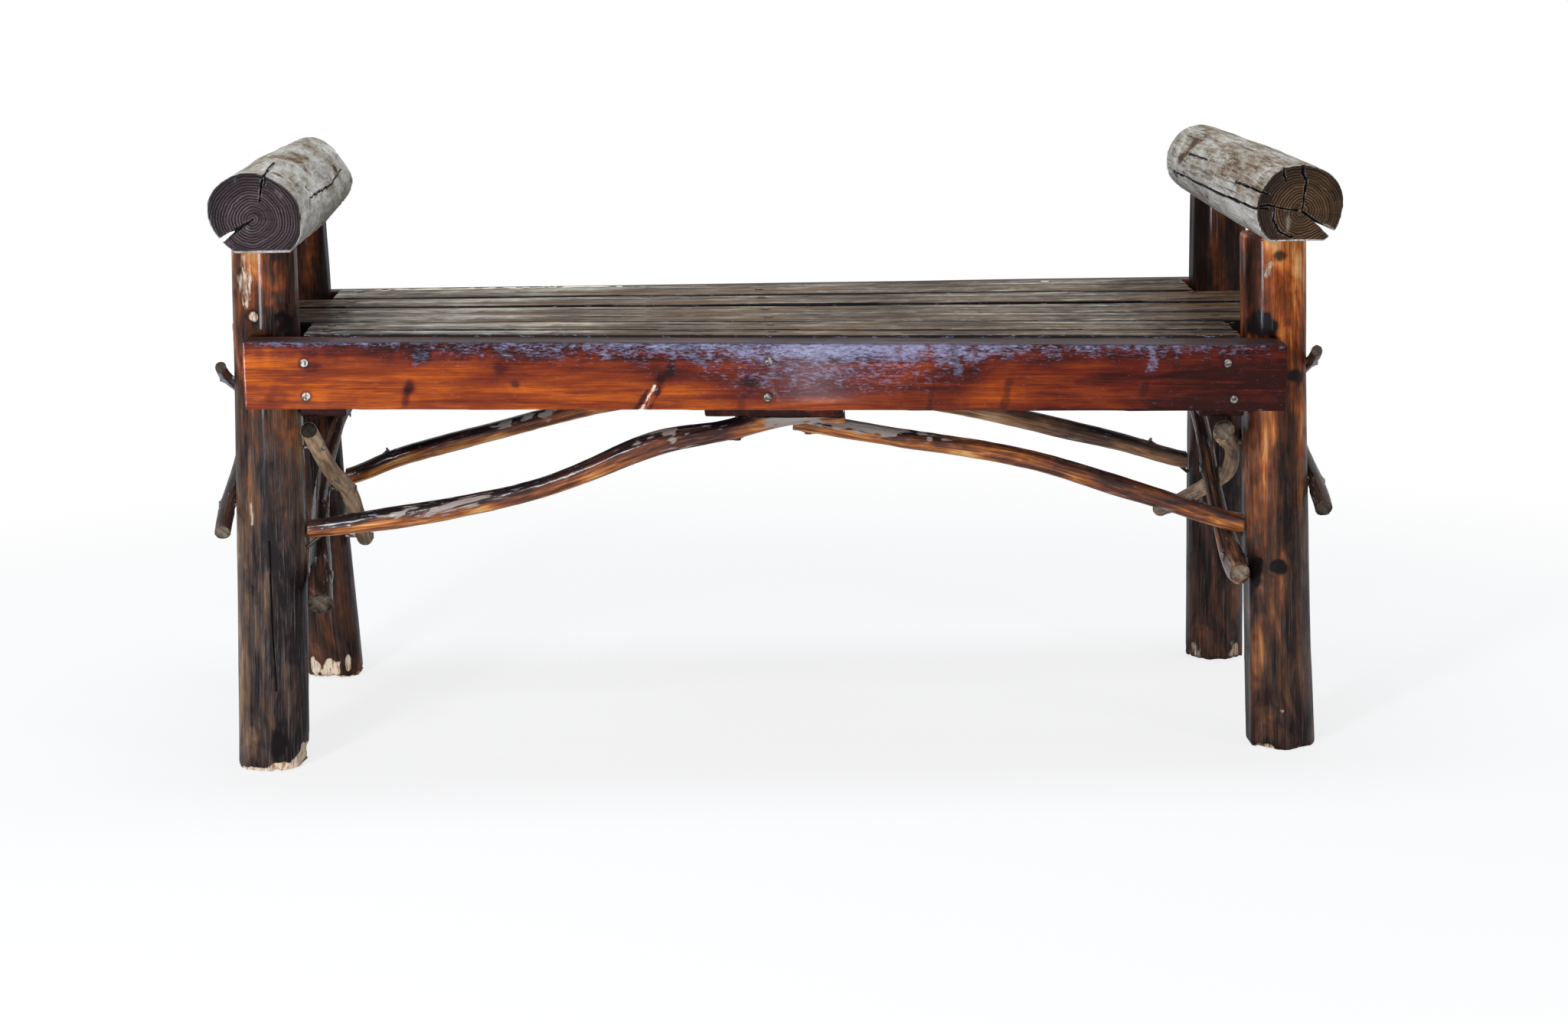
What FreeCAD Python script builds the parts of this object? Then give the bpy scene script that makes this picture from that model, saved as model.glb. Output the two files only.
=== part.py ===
import FreeCAD, Part
import math
import os
from collections import namedtuple
from FreeCAD import Vector

# Rustic log bench: a slatted seat between four natural round poles, with a log lying on each pair of
# poles as an arm rest, and bent branches and crossed poles as bracing. Millimetres.
# While it is drawn, X runs along the seat from the middle of the front apron, Y from that apron's
# front face to the back, and Z up from the floor. The whole bench is centred on its footprint last.

# Seat
seat_height = 450.0  # top of the slats where the seat is level
seat_twist = 20.0  # how much higher the front left corner stands, as on the hand-built frame

# Aprons, the boards nailed across the front and the back
apron_length = 1063.0
apron_height = 70.0
apron_drop = 3.0  # top edge below the top of the slats
front_apron_thick = 45.0
rear_apron_thick = 30.0

# Slats, counted from the front
slat_thick = 24.0
slat_overall = 1120.0  # length of a slat that passes between the front and the back pole
slat_end_gap = 6.0  # what a short slat leaves free at each pole
slat_width = 60.0
slat_width_shares = (0.53, 0.95, 0.88, 1.02, 1.20, 1.45)
slat_gap = 6.0
slat_gap_shares = (0.20, 1.00, 1.15, 0.70, 3.15, 2.00)
rear_gap_share = 0.30
short_slats = (1, 2, 6)

# Bearers, the timbers on edge under the slats
bearer_width = 48.0
bearer_depth = 63.0
centre_bearer_width = 144.0
centre_bearer_offset = 6.0

# Legs, full-height natural poles
leg_height = 550.0
leg_radius = 36.0
leg_housing = 4.0  # depth of the seat cut in a leg where an apron beds
leg_stations = 5
# Each leg's own growth, in shares of the leg radius: how far the foot and the top stand in from the
# apron's end, the radius at the foot and the top, the inward bow at half height, and how deep the
# sawn flat on the inner side is at the top and at the foot.
leg_shares = {
    "front_left_leg": (0.11, 0.54, 1.055, 1.00, 0.04, 0.15, -0.18),
    "front_right_leg": (-0.54, 0.125, 1.055, 1.00, 0.07, 0.11, 0.08),
    "back_left_leg": (1.04, 0.49, 0.95, 0.944, -0.17, 0.19, 0.055),
    "back_right_leg": (-0.40, -0.15, 0.95, 0.944, 0.0, 0.11, -0.03),
}

# Tenons that hold the arm logs down on the legs
tenon_radius = 15.0
tenon_length = 35.0
bore_extra = 2.0  # how much deeper the bore is than its tenon

# Arm logs
log_radius = 48.0
log_axis_rise = 35.0  # axis above the sawn underside
log_front_overhang = 70.0  # from the front legs' axis to the front end
log_back_overhang = 60.0
log_station_shares = (0.0, 0.25, 0.5, 0.75, 1.0)
# Each log's inset from the apron's end and the rise of its underside above the leg height, at its
# front and its back end, in shares of the log radius.
log_place_shares = {
    "left_arm_log": ((0.38, 0.104), (0.61, -0.094)),
    "right_arm_log": ((-0.16, 0.042), (0.115, 0.03)),
}
# Growth along each log, and the outline of its front and its back end at even turns from the right
# hand over the top, both in shares of the log radius.
log_growth_shares = {
    "left_arm_log": (1.00, 0.99, 1.00, 0.96, 0.92),
    "right_arm_log": (1.00, 1.00, 0.98, 0.94, 0.90),
}
log_outline_shares = {
    "left_arm_log": (
        (0.99, 0.97, 0.93, 0.985, 1.03, 1.06, 0.985, 0.89, 0.87, 0.94, 1.00, 1.04),
        (0.98, 0.86, 0.90, 0.985, 1.01, 1.03, 0.985, 0.95, 0.92, 0.96, 1.04, 1.07),
    ),
    "right_arm_log": (
        (0.99, 1.005, 0.955, 0.92, 0.915, 0.895, 0.925, 0.96, 0.95, 0.95, 0.93, 0.965),
        (0.98, 0.98, 0.94, 0.92, 0.915, 0.90, 0.925, 0.96, 0.95, 0.95, 0.95, 0.98),
    ),
}
# Drying check of each log: a wedge that opens at the rim of the front end and closes along the log.
check_mouth = 8.5
check_tail = 1.0
check_apex_share = 0.20
check_rim_share = 1.2
check_length_share = 0.8
check_angle = {"left_arm_log": 212.0, "right_arm_log": -38.0}

# Arched branches from the legs to the middle of the seat
arch_radius = 12.0
arch_spread = 13.0  # how far each of a pair keeps to its own side of the legs' axis
front_left_spring = 107.8  # each branch's axis at its leg, measured down from the bearers' underside
front_right_spring = 120.8
back_left_spring = 127.8
back_right_spring = 124.8
arch_bite = 25.0  # length drawn into the leg before the end is coped to it
# Stations of each branch: share of the way from the leg to the middle, share of the rise to the
# bearer, share of the branch radius.
arch_shares = {
    "front_left_arch": (
        (0.00, 0.00, 0.92), (0.10, 0.05, 1.00), (0.26, 0.15, 1.08), (0.38, 0.25, 1.00),
        (0.50, 0.38, 0.96), (0.63, 0.60, 1.08), (0.80, 0.88, 1.14), (0.93, 0.98, 1.04),
        (1.17, 1.07, 0.70),
    ),
    "front_right_arch": (
        (0.00, 0.00, 0.96), (0.07, 0.075, 0.96), (0.20, 0.27, 1.00), (0.32, 0.44, 1.00),
        (0.43, 0.59, 0.96), (0.62, 0.76, 0.92), (0.75, 0.85, 0.92), (0.945, 1.00, 0.96),
    ),
    "back_left_arch": (
        (0.00, 0.00, 0.92), (0.10, 0.15, 0.96), (0.29, 0.37, 1.00), (0.47, 0.56, 0.96),
        (0.68, 0.74, 0.96), (0.875, 0.94, 0.92), (1.08, 1.00, 0.92),
    ),
    "back_right_arch": (
        (0.00, 0.00, 0.92), (0.12, 0.15, 0.96), (0.28, 0.335, 1.04), (0.46, 0.53, 1.00),
        (0.655, 0.68, 0.92), (0.84, 0.90, 0.92), (1.04, 1.00, 0.92),
    ),
}

# Crossed poles at the two ends, an outer and an inner pair at each
brace_radius = 10.0
brace_front_reach = 45.0  # from the front legs' axis to the poles' front ends
brace_back_reach = 38.0
# Heights of the poles' axes above the bearers' underside, below it where they are negative
outer_left_high = 73.2  # at their front ends
outer_left_low = -100.8
outer_right_high = 72.2
outer_right_low = -96.8
inner_left_high = 6.2
inner_left_low = -177.8
inner_right_high = -9.8
inner_right_low = -163.8
outer_left_back_low = -112.8  # at their back ends
outer_left_back_high = 52.2
outer_right_back_low = -115.8
outer_right_back_high = 52.2
inner_left_back_low = -200.8
inner_left_back_high = -48.8
inner_right_back_low = -191.8
inner_right_back_high = -13.8
# Stations of each pole: share of its run from front to back, share of its fall or climb, how far it
# stands off the line of the legs' faces and its radius, both in shares of the brace radius.
brace_shares = {
    "outer_left_fall": (
        (0.0, 0.0, 0.00, 0.68), (0.10, 0.10, -0.05, 0.70), (0.25, 0.24, -0.80, 0.75),
        (0.5, 0.50, -1.92, 0.80), (0.75, 0.76, -1.25, 0.82), (0.91, 0.92, -0.25, 0.80),
        (1.0, 1.0, -0.20, 0.78),
    ),
    "outer_left_climb": (
        (0.0, 0.0, -0.14, 0.96), (0.10, 0.13, -0.32, 0.95), (0.295, 0.34, -0.69, 0.92),
        (0.5, 0.56, -0.65, 0.90), (0.75, 0.79, -0.45, 0.85), (0.91, 0.93, -0.25, 0.80),
        (1.0, 1.0, -0.20, 0.80),
    ),
    "outer_right_fall": (
        (0.0, 0.0, -0.60, 0.72), (0.10, 0.10, -0.35, 0.75), (0.25, 0.25, -1.10, 0.80),
        (0.5, 0.53, -2.15, 0.82), (0.75, 0.77, -1.35, 0.85), (0.91, 0.92, -0.30, 0.85),
        (1.0, 1.0, -0.25, 0.82),
    ),
    "outer_right_climb": (
        (0.0, 0.0, -0.40, 1.04), (0.10, 0.13, -0.42, 1.02), (0.26, 0.30, -0.70, 1.00),
        (0.5, 0.57, -0.50, 1.00), (0.75, 0.80, -0.45, 0.95), (0.91, 0.93, -0.32, 0.92),
        (1.0, 1.0, -0.28, 0.90),
    ),
    "inner_left_fall": (
        (0.0, 0.0, 0.00, 1.00), (0.20, 0.215, 0.40, 1.00), (0.50, 0.47, 0.72, 1.05),
        (0.72, 0.655, 0.62, 1.05), (0.84, 0.82, 0.70, 1.05), (1.0, 1.0, 0.60, 1.00),
    ),
    "inner_left_climb": (
        (0.0, 0.0, 0.27, 1.40), (0.20, 0.27, -0.35, 1.22), (0.42, 0.45, -1.15, 1.05),
        (0.62, 0.60, -1.60, 0.98), (0.76, 0.80, -1.25, 0.90), (1.0, 1.0, 0.20, 0.80),
    ),
    "inner_right_fall": (
        (0.0, 0.0, 1.70, 1.15), (0.155, 0.15, 0.05, 0.95), (0.22, 0.24, -0.75, 0.92),
        (0.32, 0.38, -1.30, 0.92), (0.52, 0.56, -1.50, 1.00), (0.785, 0.79, -0.85, 1.05),
        (0.915, 0.93, 0.70, 1.05), (1.0, 1.0, 1.40, 1.05),
    ),
    "inner_right_climb": (
        (0.0, 0.0, 0.25, 1.18), (0.20, 0.24, 0.75, 1.06), (0.27, 0.42, 1.10, 1.00),
        (0.36, 0.60, 1.10, 1.00), (0.46, 0.74, 0.90, 0.98), (0.60, 0.86, 0.60, 0.95),
        (0.85, 0.96, 0.05, 0.92), (1.0, 1.0, 0.00, 0.90),
    ),
}
short_brace = "inner_left_fall"  # the one that ends on its back leg

# Nails
nail_radius = 1.9
nail_head_radius = 4.0
nail_head_thick = 1.4
nail_head_proud = 0.5
apron_nail_length = 105.0
apron_nail_slope = 8.0  # degrees downwards
# Each apron's nails: share of the way across a bearer and of the way up the apron.
apron_nail_shares = {
    "left_end_bearer": ((0.24, 0.69), (0.26, 0.20)),
    "centre_bearer": ((0.45, 0.73), (0.44, 0.20)),
    "right_end_bearer": ((0.41, 0.72), (0.57, 0.18)),
}
slat_nail_length = 68.0
# Share of the way across each bearer, and across each slat over the left, centre and right bearer.
slat_nail_across_shares = (0.62, 0.50, 0.78)
slat_nail_shares = (
    (0.50, 0.55, 0.50), (0.45, 0.55, 0.50), (0.70, 0.45, 0.55),
    (0.40, 0.50, 0.60), (0.50, 0.65, 0.80), (0.62, 0.38, 0.50),
)
bearer_nail_length = 72.0
bearer_nail_low_edge = 9.0  # from the bearer's lower and upper edges to its nails
bearer_nail_high_edge = 20.0
arch_nail_length = 60.0
arch_nail_inset = 26.0  # along the branch from the leg's face to the skew nail's head
arch_nail_slope = 40.0  # degrees down towards the leg
arch_nail_spread = 38.0  # from the middle of the centre bearer to the branches' upright nails
brace_nail_length = 50.0
brace_nail_margin = 14.0  # least distance from the end of a pole
brace_nail_shift_shares = {("inner_right_fall", "front"): 0.60}  # of the leg radius, from its axis
crossing_nail_length = 34.0

# Clearances
bed_clearance = 0.2  # between timbers that bear on each other
cope_clearance = 0.3  # between a round pole and what it is coped to
hole_clearance = 0.1  # round nails and tenons
cut_overrun = 5.0

Leg = namedtuple("Leg", "side y foot_x top_x foot_radius top_radius bow flat_top_x flat_foot_x log")

half_length = apron_length / 2
slat_widths = [slat_width * share for share in slat_width_shares]
slat_gaps = [slat_gap * share for share in slat_gap_shares]
rear_apron_front = (
    front_apron_thick + sum(slat_widths) + sum(slat_gaps) + slat_gap * rear_gap_share
)
seat_depth = rear_apron_front + rear_apron_thick
front_leg_y = front_apron_thick + leg_radius - leg_housing
back_leg_y = rear_apron_front - leg_radius * leg_shares["back_left_leg"][3] + leg_housing
bearer_top = seat_height - slat_thick - bed_clearance
bearer_bottom = bearer_top - bearer_depth
apron_top = seat_height - apron_drop
apron_bottom = apron_top - apron_height


def mix(first, last, share):
    return first + (last - first) * share


def seat_rise(x, y):
    """Height that the twist of the seat adds at a place."""
    left_share = (half_length - x) / apron_length
    front_share = (seat_depth - y) / seat_depth
    return seat_twist * left_share * front_share


def polygon(points):
    return Part.makePolygon([*points, points[0]])


def ruled_solid(first, last):
    """Solid between two like outlines, with straight edges from one to the other."""
    return Part.makeLoft([polygon(first), polygon(last)], True, True)


def timber_along_x(x0, x1, y0, y1, z0, z1):
    """Board that follows the twist of the seat, drawn from its left to its right end."""
    ends = []
    for x in (x0, x1):
        corners = ((y0, z0), (y1, z0), (y1, z1), (y0, z1))
        ends.append([Vector(x, y, z + seat_rise(x, y)) for y, z in corners])
    return ruled_solid(*ends)


def timber_along_y(front_x, back_x, width, y0, y1, z0, z1):
    """Timber on edge under the seat, drawn from its front to its back end."""
    ends = []
    for x, y in ((front_x, y0), (back_x, y1)):
        corners = ((x, z0), (x + width, z0), (x + width, z1), (x, z1))
        ends.append([Vector(u, y, z + seat_rise(u, y)) for u, z in corners])
    return ruled_solid(*ends)


def round_section(centre, normal, radius, reference):
    """Circle across a pole, with its seam turned towards a fixed reference direction."""
    across = (reference - normal * reference.dot(normal)).normalize()
    turn = FreeCAD.Rotation(across, normal.cross(across), normal, "ZXY")
    circle = Part.makeCircle(radius)
    circle.Placement = FreeCAD.Placement(centre, turn)
    return Part.Wire([circle])


def pole(points, radii, reference):
    """Natural pole: a smooth skin over circles square to the line through the points."""
    sections = []
    for index, (point, radius) in enumerate(zip(points, radii)):
        before = points[max(index - 1, 0)]
        after = points[min(index + 1, len(points) - 1)]
        along = (after - before).normalize()
        sections.append(round_section(point, along, radius, reference))
    return Part.makeLoft(sections, True, False)


def make_leg(name):
    """Work out one leg's sizes from its shares of the leg radius."""
    foot_in, top_in, foot, top, bow, flat_top, flat_foot = (
        share * leg_radius for share in leg_shares[name]
    )
    side = -1 if "left" in name else 1
    y = front_leg_y if "front" in name else back_leg_y
    foot_x = side * (half_length - foot_in)
    top_x = side * (half_length - top_in)
    flat_top_x = top_x - side * (top - flat_top)
    flat_foot_x = foot_x - side * (foot - flat_foot)
    log = "left_arm_log" if side < 0 else "right_arm_log"
    return Leg(side, y, foot_x, top_x, foot, top, bow, flat_top_x, flat_foot_x, log)


def leg_axis_x(leg, z):
    share = z / leg_height
    bow = leg.bow * (1 - (2 * share - 1) ** 2)
    return mix(leg.foot_x, leg.top_x, share) - leg.side * bow


def leg_radius_at(leg, z):
    return mix(leg.foot_radius, leg.top_radius, z / leg_height)


def leg_inner_x(leg, z):
    """Inner face: the sawn flat, or the round where the flat has run out."""
    flat = mix(leg.flat_foot_x, leg.flat_top_x, z / leg_height)
    natural = leg_axis_x(leg, z) - leg.side * leg_radius_at(leg, z)
    return leg.side * max(leg.side * flat, leg.side * natural)


def leg_outer_x(leg, z):
    return leg_axis_x(leg, z) + leg.side * leg_radius_at(leg, z)


def leg_solid(leg, grow=0):
    """Leg without its tenon and housing; grow gives the shape that a piece beside it is coped to."""
    tall = leg_height + cut_overrun * 2
    heights = [tall * index / (leg_stations - 1) for index in range(leg_stations)]
    sections = [
        round_section(
            Vector(leg_axis_x(leg, z), leg.y, z), Vector(0, 0, 1), leg_radius_at(leg, z) + grow,
            Vector(leg.side, 0, 0),
        )
        for z in heights
    ]
    body = Part.makeLoft(sections, True, False)
    inward = -leg.side * (grow + leg.foot_radius * 2)
    low, high = -cut_overrun, tall + cut_overrun
    outline = []
    for z in (low, high):
        flat = mix(leg.flat_foot_x, leg.flat_top_x, z / leg_height) - leg.side * grow
        outline.append(Vector(flat, 0, z))
    outline += [Vector(outline[1].x + inward, 0, high), Vector(outline[0].x + inward, 0, low)]
    waste = Part.Face(polygon(outline)).extrude(Vector(0, leg.foot_radius * 4, 0))
    waste.translate(Vector(0, leg.y - leg.foot_radius * 2, 0))
    return body.cut(waste).cut(beyond_bed(leg.log, above=True))


def apron_solid(y0, y1, grow=0):
    return timber_along_x(
        -half_length - grow, half_length + grow, y0 - grow, y1 + grow, apron_bottom - grow,
        apron_top + grow,
    )


def slat_solid(index, y):
    """One slat, counted from 1 at the front, with its front edge at y."""
    end = slat_overall / 2
    left, right = -end, end
    width = slat_widths[index - 1]
    if index in short_slats:
        row = "back" if index == max(short_slats) else "front"
        left = leg_inner_x(legs[row + "_left_leg"], seat_height) + slat_end_gap
        right = leg_inner_x(legs[row + "_right_leg"], seat_height) - slat_end_gap
    return timber_along_x(left, right, y, y + width, seat_height - slat_thick, seat_height)


def log_end(end):
    """Depth of the front (0) or back (1) end of the arm logs."""
    return back_leg_y + log_back_overhang if end else front_leg_y - log_front_overhang


def bed_height(name, y):
    """Height of a log's sawn underside at a depth."""
    (_, front_rise), (_, back_rise) = log_place_shares[name]
    share = (y - log_end(0)) / (log_end(1) - log_end(0))
    return leg_height + log_radius * mix(front_rise, back_rise, share)


def log_axis(name, share):
    """Point of an arm log's axis at a share of its length from the front end."""
    side = -1 if "left" in name else 1
    (front_in, _), (back_in, _) = log_place_shares[name]
    x = side * (half_length - log_radius * mix(front_in, back_in, share))
    y = mix(log_end(0), log_end(1), share)
    return Vector(x, y, bed_height(name, y) + log_axis_rise)


def beyond_bed(name, above):
    """Everything on one side of a log's sawn underside."""
    front, back = log_end(0) - cut_overrun, log_end(1) + cut_overrun
    depth = log_radius * 2 if above else -log_radius * 2
    left = log_axis(name, 0).x - log_radius * 2
    outline = []
    for y in (front, back):
        outline.append(Vector(left, y, bed_height(name, y)))
    for y in (back, front):
        outline.append(Vector(left, y, bed_height(name, y) + depth))
    return Part.Face(polygon(outline)).extrude(Vector(log_radius * 4, 0, 0))


def check_wedge(name):
    """Wedge of the drying check, from inside the log to beyond its rim."""
    angle = math.radians(check_angle[name])
    out = Vector(math.cos(angle), 0, math.sin(angle))
    across = Vector(-out.z, 0, out.x)
    ends = []
    for share, mouth in ((0, check_mouth), (check_length_share, check_tail)):
        centre = log_axis(name, share)
        if share == 0:
            centre.y -= cut_overrun
        apex = centre + out * (log_radius * check_apex_share)
        rim = centre + out * (log_radius * check_rim_share)
        ends.append([apex, rim + across * (mouth / 2), rim - across * (mouth / 2)])
    return ruled_solid(*ends)


def log_section(name, share, growth):
    """Closed smooth outline of a log at a share of its length."""
    centre = log_axis(name, share)
    front, back = log_outline_shares[name]
    points = []
    for index, (wide, back_wide) in enumerate(zip(front, back)):
        angle = 2 * math.pi * index / len(front)
        out = Vector(math.cos(angle), 0, math.sin(angle))
        points.append(centre + out * (log_radius * growth * mix(wide, back_wide, share)))
    curve = Part.BSplineCurve()
    curve.interpolate(Points=points, PeriodicFlag=True)
    return Part.Wire([curve.toShape()])


def log_solid(name):
    """Arm log, sawn flat beneath, with its drying check and the bores for the leg tenons."""
    sections = [
        log_section(name, share, growth)
        for share, growth in zip(log_station_shares, log_growth_shares[name])
    ]
    body = Part.makeLoft(sections, True, False)
    body = body.cut(beyond_bed(name, above=False)).cut(check_wedge(name))
    for leg in legs.values():
        if leg.log == name:
            body = body.cut(tenon(leg, hole_clearance, bore_extra))
    return body


def tenon(leg, grow=0, longer=0):
    start = Vector(leg.top_x, leg.y, bed_height(leg.log, leg.y) - cut_overrun)
    return Part.makeCylinder(tenon_radius + grow, tenon_length + longer + cut_overrun, start)


def bearer_side_x(leg):
    """Inmost part of a leg's flat over the depth of a bearer."""
    faces = [leg_inner_x(leg, z) for z in (bearer_bottom, bearer_top + seat_twist)]
    return min(faces) if leg.side > 0 else max(faces)


def end_bearer(side):
    """Front and back place and width of an end bearer that lies along two legs' flats."""
    front, back = legs[f"front_{side}_leg"], legs[f"back_{side}_leg"]
    front_face, back_face = bearer_side_x(front), bearer_side_x(back)
    slope = (back_face - front_face) / (back.y - front.y)
    clear = front.side * (abs(slope) * leg_radius + bed_clearance)
    front_x = front_face - slope * (front.y - front_apron_thick) - clear
    back_x = back_face + slope * (rear_apron_front - back.y) - clear
    if side == "right":
        return (front_x - bearer_width, back_x - bearer_width, bearer_width)
    return (front_x, back_x, bearer_width)


def bearer_solid(front_x, back_x, width, grow=0):
    return timber_along_y(
        front_x - grow, back_x - grow, width + grow * 2, front_apron_thick + bed_clearance - grow,
        rear_apron_front - bed_clearance + grow, bearer_bottom - grow, bearer_top + grow,
    )


def arch_points(name):
    """Axis points of an arched branch, with one more inside the leg before it is coped."""
    row, side, _ = name.split("_")
    leg = legs[f"{row}_{side}_leg"]
    spring = bearer_bottom - arch_springs[name]
    start_x = leg_inner_x(leg, spring)
    under = bearer_bottom + seat_rise(0, leg.y)
    crown = under - arch_radius
    offset = -arch_spread if side == "left" else arch_spread
    points = [Vector(start_x + leg.side * arch_bite, leg.y, spring)]
    for along, up, _ in arch_shares[name]:
        points.append(Vector(start_x * (1 - along), leg.y + offset * along, mix(spring, crown, up)))
    radii = [share * arch_radius for _, _, share in arch_shares[name]]
    return leg, points, [radii[0], *radii]


def arch_solid(name):
    """Arched branch, coped to its leg and pared flat where it lies under the bearer."""
    leg, points, radii = arch_points(name)
    body = pole(points, radii, Vector(0, 0, 1))
    body = body.cut(leg_solid(leg, cope_clearance))
    return body.cut(bearer_solid(*centre_place, bed_clearance))


def brace_points(name):
    """Axis points and radii of a crossed pole, laid along the legs' outer or inner faces."""
    layer, side, _ = name.split("_")
    front, back = legs[f"front_{side}_leg"], legs[f"back_{side}_leg"]
    face_x = leg_outer_x if layer == "outer" else leg_inner_x
    away = front.side if layer == "outer" else -front.side
    start_z, end_z = (bearer_bottom + rise for rise in brace_rises[name])
    start_y = front.y - brace_front_reach
    end_y = back.y if name == short_brace else back.y + brace_back_reach
    points, radii = [], []
    for run, climb, off, radius in brace_shares[name]:
        y = mix(start_y, end_y, run)
        leg_share = (y - front.y) / (back.y - front.y)
        face = mix(face_x(front, start_z), face_x(back, end_z), min(max(leg_share, 0), 1))
        stand = brace_radius * (radius + off) + cope_clearance
        points.append(Vector(face + away * stand, y, mix(start_z, end_z, climb)))
        radii.append(brace_radius * radius)
    return points, radii


def brace_solid(name):
    points, radii = brace_points(name)
    return pole(points, radii, Vector(0, 0, 1))


def bearer_x(front_x, back_x, y):
    """Left side of a bearer at a depth."""
    run = rear_apron_front - front_apron_thick
    return mix(front_x, back_x, (y - front_apron_thick) / run)


def nail(head, inward, length):
    """Round nail with a flat head, standing slightly proud of the wood."""
    start = head - inward * nail_head_proud
    shank = Part.makeCylinder(nail_radius, length, start, inward)
    return shank.fuse(Part.makeCylinder(nail_head_radius, nail_head_thick, start, inward))


def nail_hole(head, inward, length):
    start = head - inward * cut_overrun
    reach = cut_overrun + length + hole_clearance
    shank = Part.makeCylinder(nail_radius + hole_clearance, reach, start, inward)
    pocket = Part.makeCylinder(
        nail_head_radius + hole_clearance, cut_overrun + nail_head_thick - nail_head_proud, start, inward
    )
    return shank.fuse(pocket)


def drive(group, head, inward, length, names):
    """Add a nail to its group and bore its hole through the pieces that it joins."""
    nails.setdefault(group, []).append(nail(head, inward, length))
    hole = nail_hole(head, inward, length)
    for name in names:
        pieces[name] = pieces[name].cut(hole)


def surface_point(name, start, inward):
    """Where a line from outside first meets a piece."""
    line = Part.makeLine(start, start + inward * apron_length)
    hits = [vertex.Point for vertex in pieces[name].common(line).Vertexes]
    return min(hits, key=lambda point: point.distanceToPoint(start))


def drive_apron_nails():
    """Two nails through each apron into the end of each bearer."""
    slope = math.radians(apron_nail_slope)
    for apron, y, turn in (("front_apron", 0, 1), ("rear_apron", seat_depth, -1)):
        inward = Vector(0, turn * math.cos(slope), -math.sin(slope))
        for bearer, (front_x, back_x, width) in bearer_places.items():
            for across, up in apron_nail_shares[bearer]:
                x = (front_x if turn > 0 else back_x) + width * across
                z = mix(apron_bottom, apron_top, up) + seat_rise(x, y)
                drive("apron_nails", Vector(x, y, z), inward, apron_nail_length, (apron, bearer))


def drive_slat_nails():
    """One nail through each slat into each bearer."""
    for index, (y, width) in enumerate(zip(slat_fronts, slat_widths)):
        for column, (bearer, (front_x, back_x, wide)) in enumerate(bearer_places.items()):
            nail_y = y + width * slat_nail_shares[index][column]
            x = bearer_x(front_x, back_x, nail_y) + wide * slat_nail_across_shares[column]
            head = Vector(x, nail_y, seat_height + seat_rise(x, nail_y))
            names = (f"seat_slat_{index + 1}", bearer)
            drive("slat_nails", head, Vector(0, 0, -1), slat_nail_length, names)


def drive_bearer_nails():
    """Two nails through each end bearer into each of its legs."""
    for side in ("left", "right"):
        front_x, back_x, width = bearer_places[f"{side}_end_bearer"]
        for row in ("front", "back"):
            leg = legs[f"{row}_{side}_leg"]
            x = bearer_x(front_x, back_x, leg.y)
            x = x + width if side == "left" else x
            for z in (bearer_bottom + bearer_nail_low_edge, bearer_top - bearer_nail_high_edge):
                head = Vector(x, leg.y, z + seat_rise(x, leg.y))
                names = (f"{side}_end_bearer", f"{row}_{side}_leg")
                drive("bearer_nails", head, Vector(leg.side, 0, 0), bearer_nail_length, names)


def drive_arch_nails():
    """A skew nail from each branch into its leg, and one up into the centre bearer."""
    slope = math.radians(arch_nail_slope)
    for name in arch_shares:
        leg, points, radii = arch_points(name)
        start = points[1] + (points[2] - points[1]).normalize() * arch_nail_inset
        inward = Vector(leg.side * math.cos(slope), 0, -math.sin(slope))
        head = surface_point(name, start - inward * (arch_radius * 4), inward)
        leg_name = name.replace("arch", "leg")
        drive("arch_nails", head, inward, arch_nail_length, (name, leg_name))
        nail_x = centre_bearer_offset + leg.side * arch_nail_spread
        low = axis_point(points, Vector(nail_x, 0, 0), Vector(1, 0, 0))
        upward = Vector(0, 0, 1)
        head = surface_point(name, low - upward * (arch_radius * 4), upward)
        drive("arch_nails", head, upward, arch_nail_length, (name, "centre_bearer"))


def drive_brace_nails():
    """A nail through each end of a crossed pole into its leg, and one where two poles cross."""
    for name in brace_shares:
        layer, side, lean = name.split("_")
        points, radii = brace_points(name)
        for row in ("front", "back"):
            leg = legs[f"{row}_{side}_leg"]
            inward = Vector(-leg.side if layer == "outer" else leg.side, 0, 0)
            shift = leg_radius * brace_nail_shift_shares.get((name, row), 0)
            y = min(leg.y + shift, points[-1].y - brace_nail_margin)
            middle = axis_point(points, Vector(0, y, 0), Vector(0, 1, 0))
            head = surface_point(name, middle - inward * brace_reach, inward)
            drive("brace_nails", head, inward, brace_nail_length, (name, f"{row}_{side}_leg"))
        if lean == "fall":
            other = name.replace("fall", "climb")
            place = crossing(points, brace_points(other)[0])
            first = other if layer == "outer" else name
            if name == "inner_right_fall":
                first = other
            turn = -leg.side if layer == "outer" else leg.side
            inward = Vector(turn, 0, 0)
            head = surface_point(first, place - inward * brace_reach, inward)
            drive("brace_nails", head, inward, crossing_nail_length, (name, other))


def axis_point(points, place, normal):
    """Where the smooth curve through a pole's stations passes a plane."""
    curve = Part.BSplineCurve()
    curve.interpolate(points)
    hit = curve.intersect(Part.Plane(place, normal))[0][0]
    return Vector(hit.X, hit.Y, hit.Z)


def crossing(falling, climbing):
    """Point between two poles where their heights are the same."""
    low, high = falling[0].y, falling[-1].y
    for _ in range(crossing_steps):
        middle = Vector(0, (low + high) / 2, 0)
        one, other = (axis_point(points, middle, Vector(0, 1, 0)) for points in (falling, climbing))
        if one.z > other.z:
            low = middle.y
        else:
            high = middle.y
    return (one + other) / 2


def slat_front_edges():
    edges = []
    y = front_apron_thick
    for gap, width in zip(slat_gaps, slat_widths):
        y += gap
        edges.append(y)
        y += width
    return edges


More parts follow.
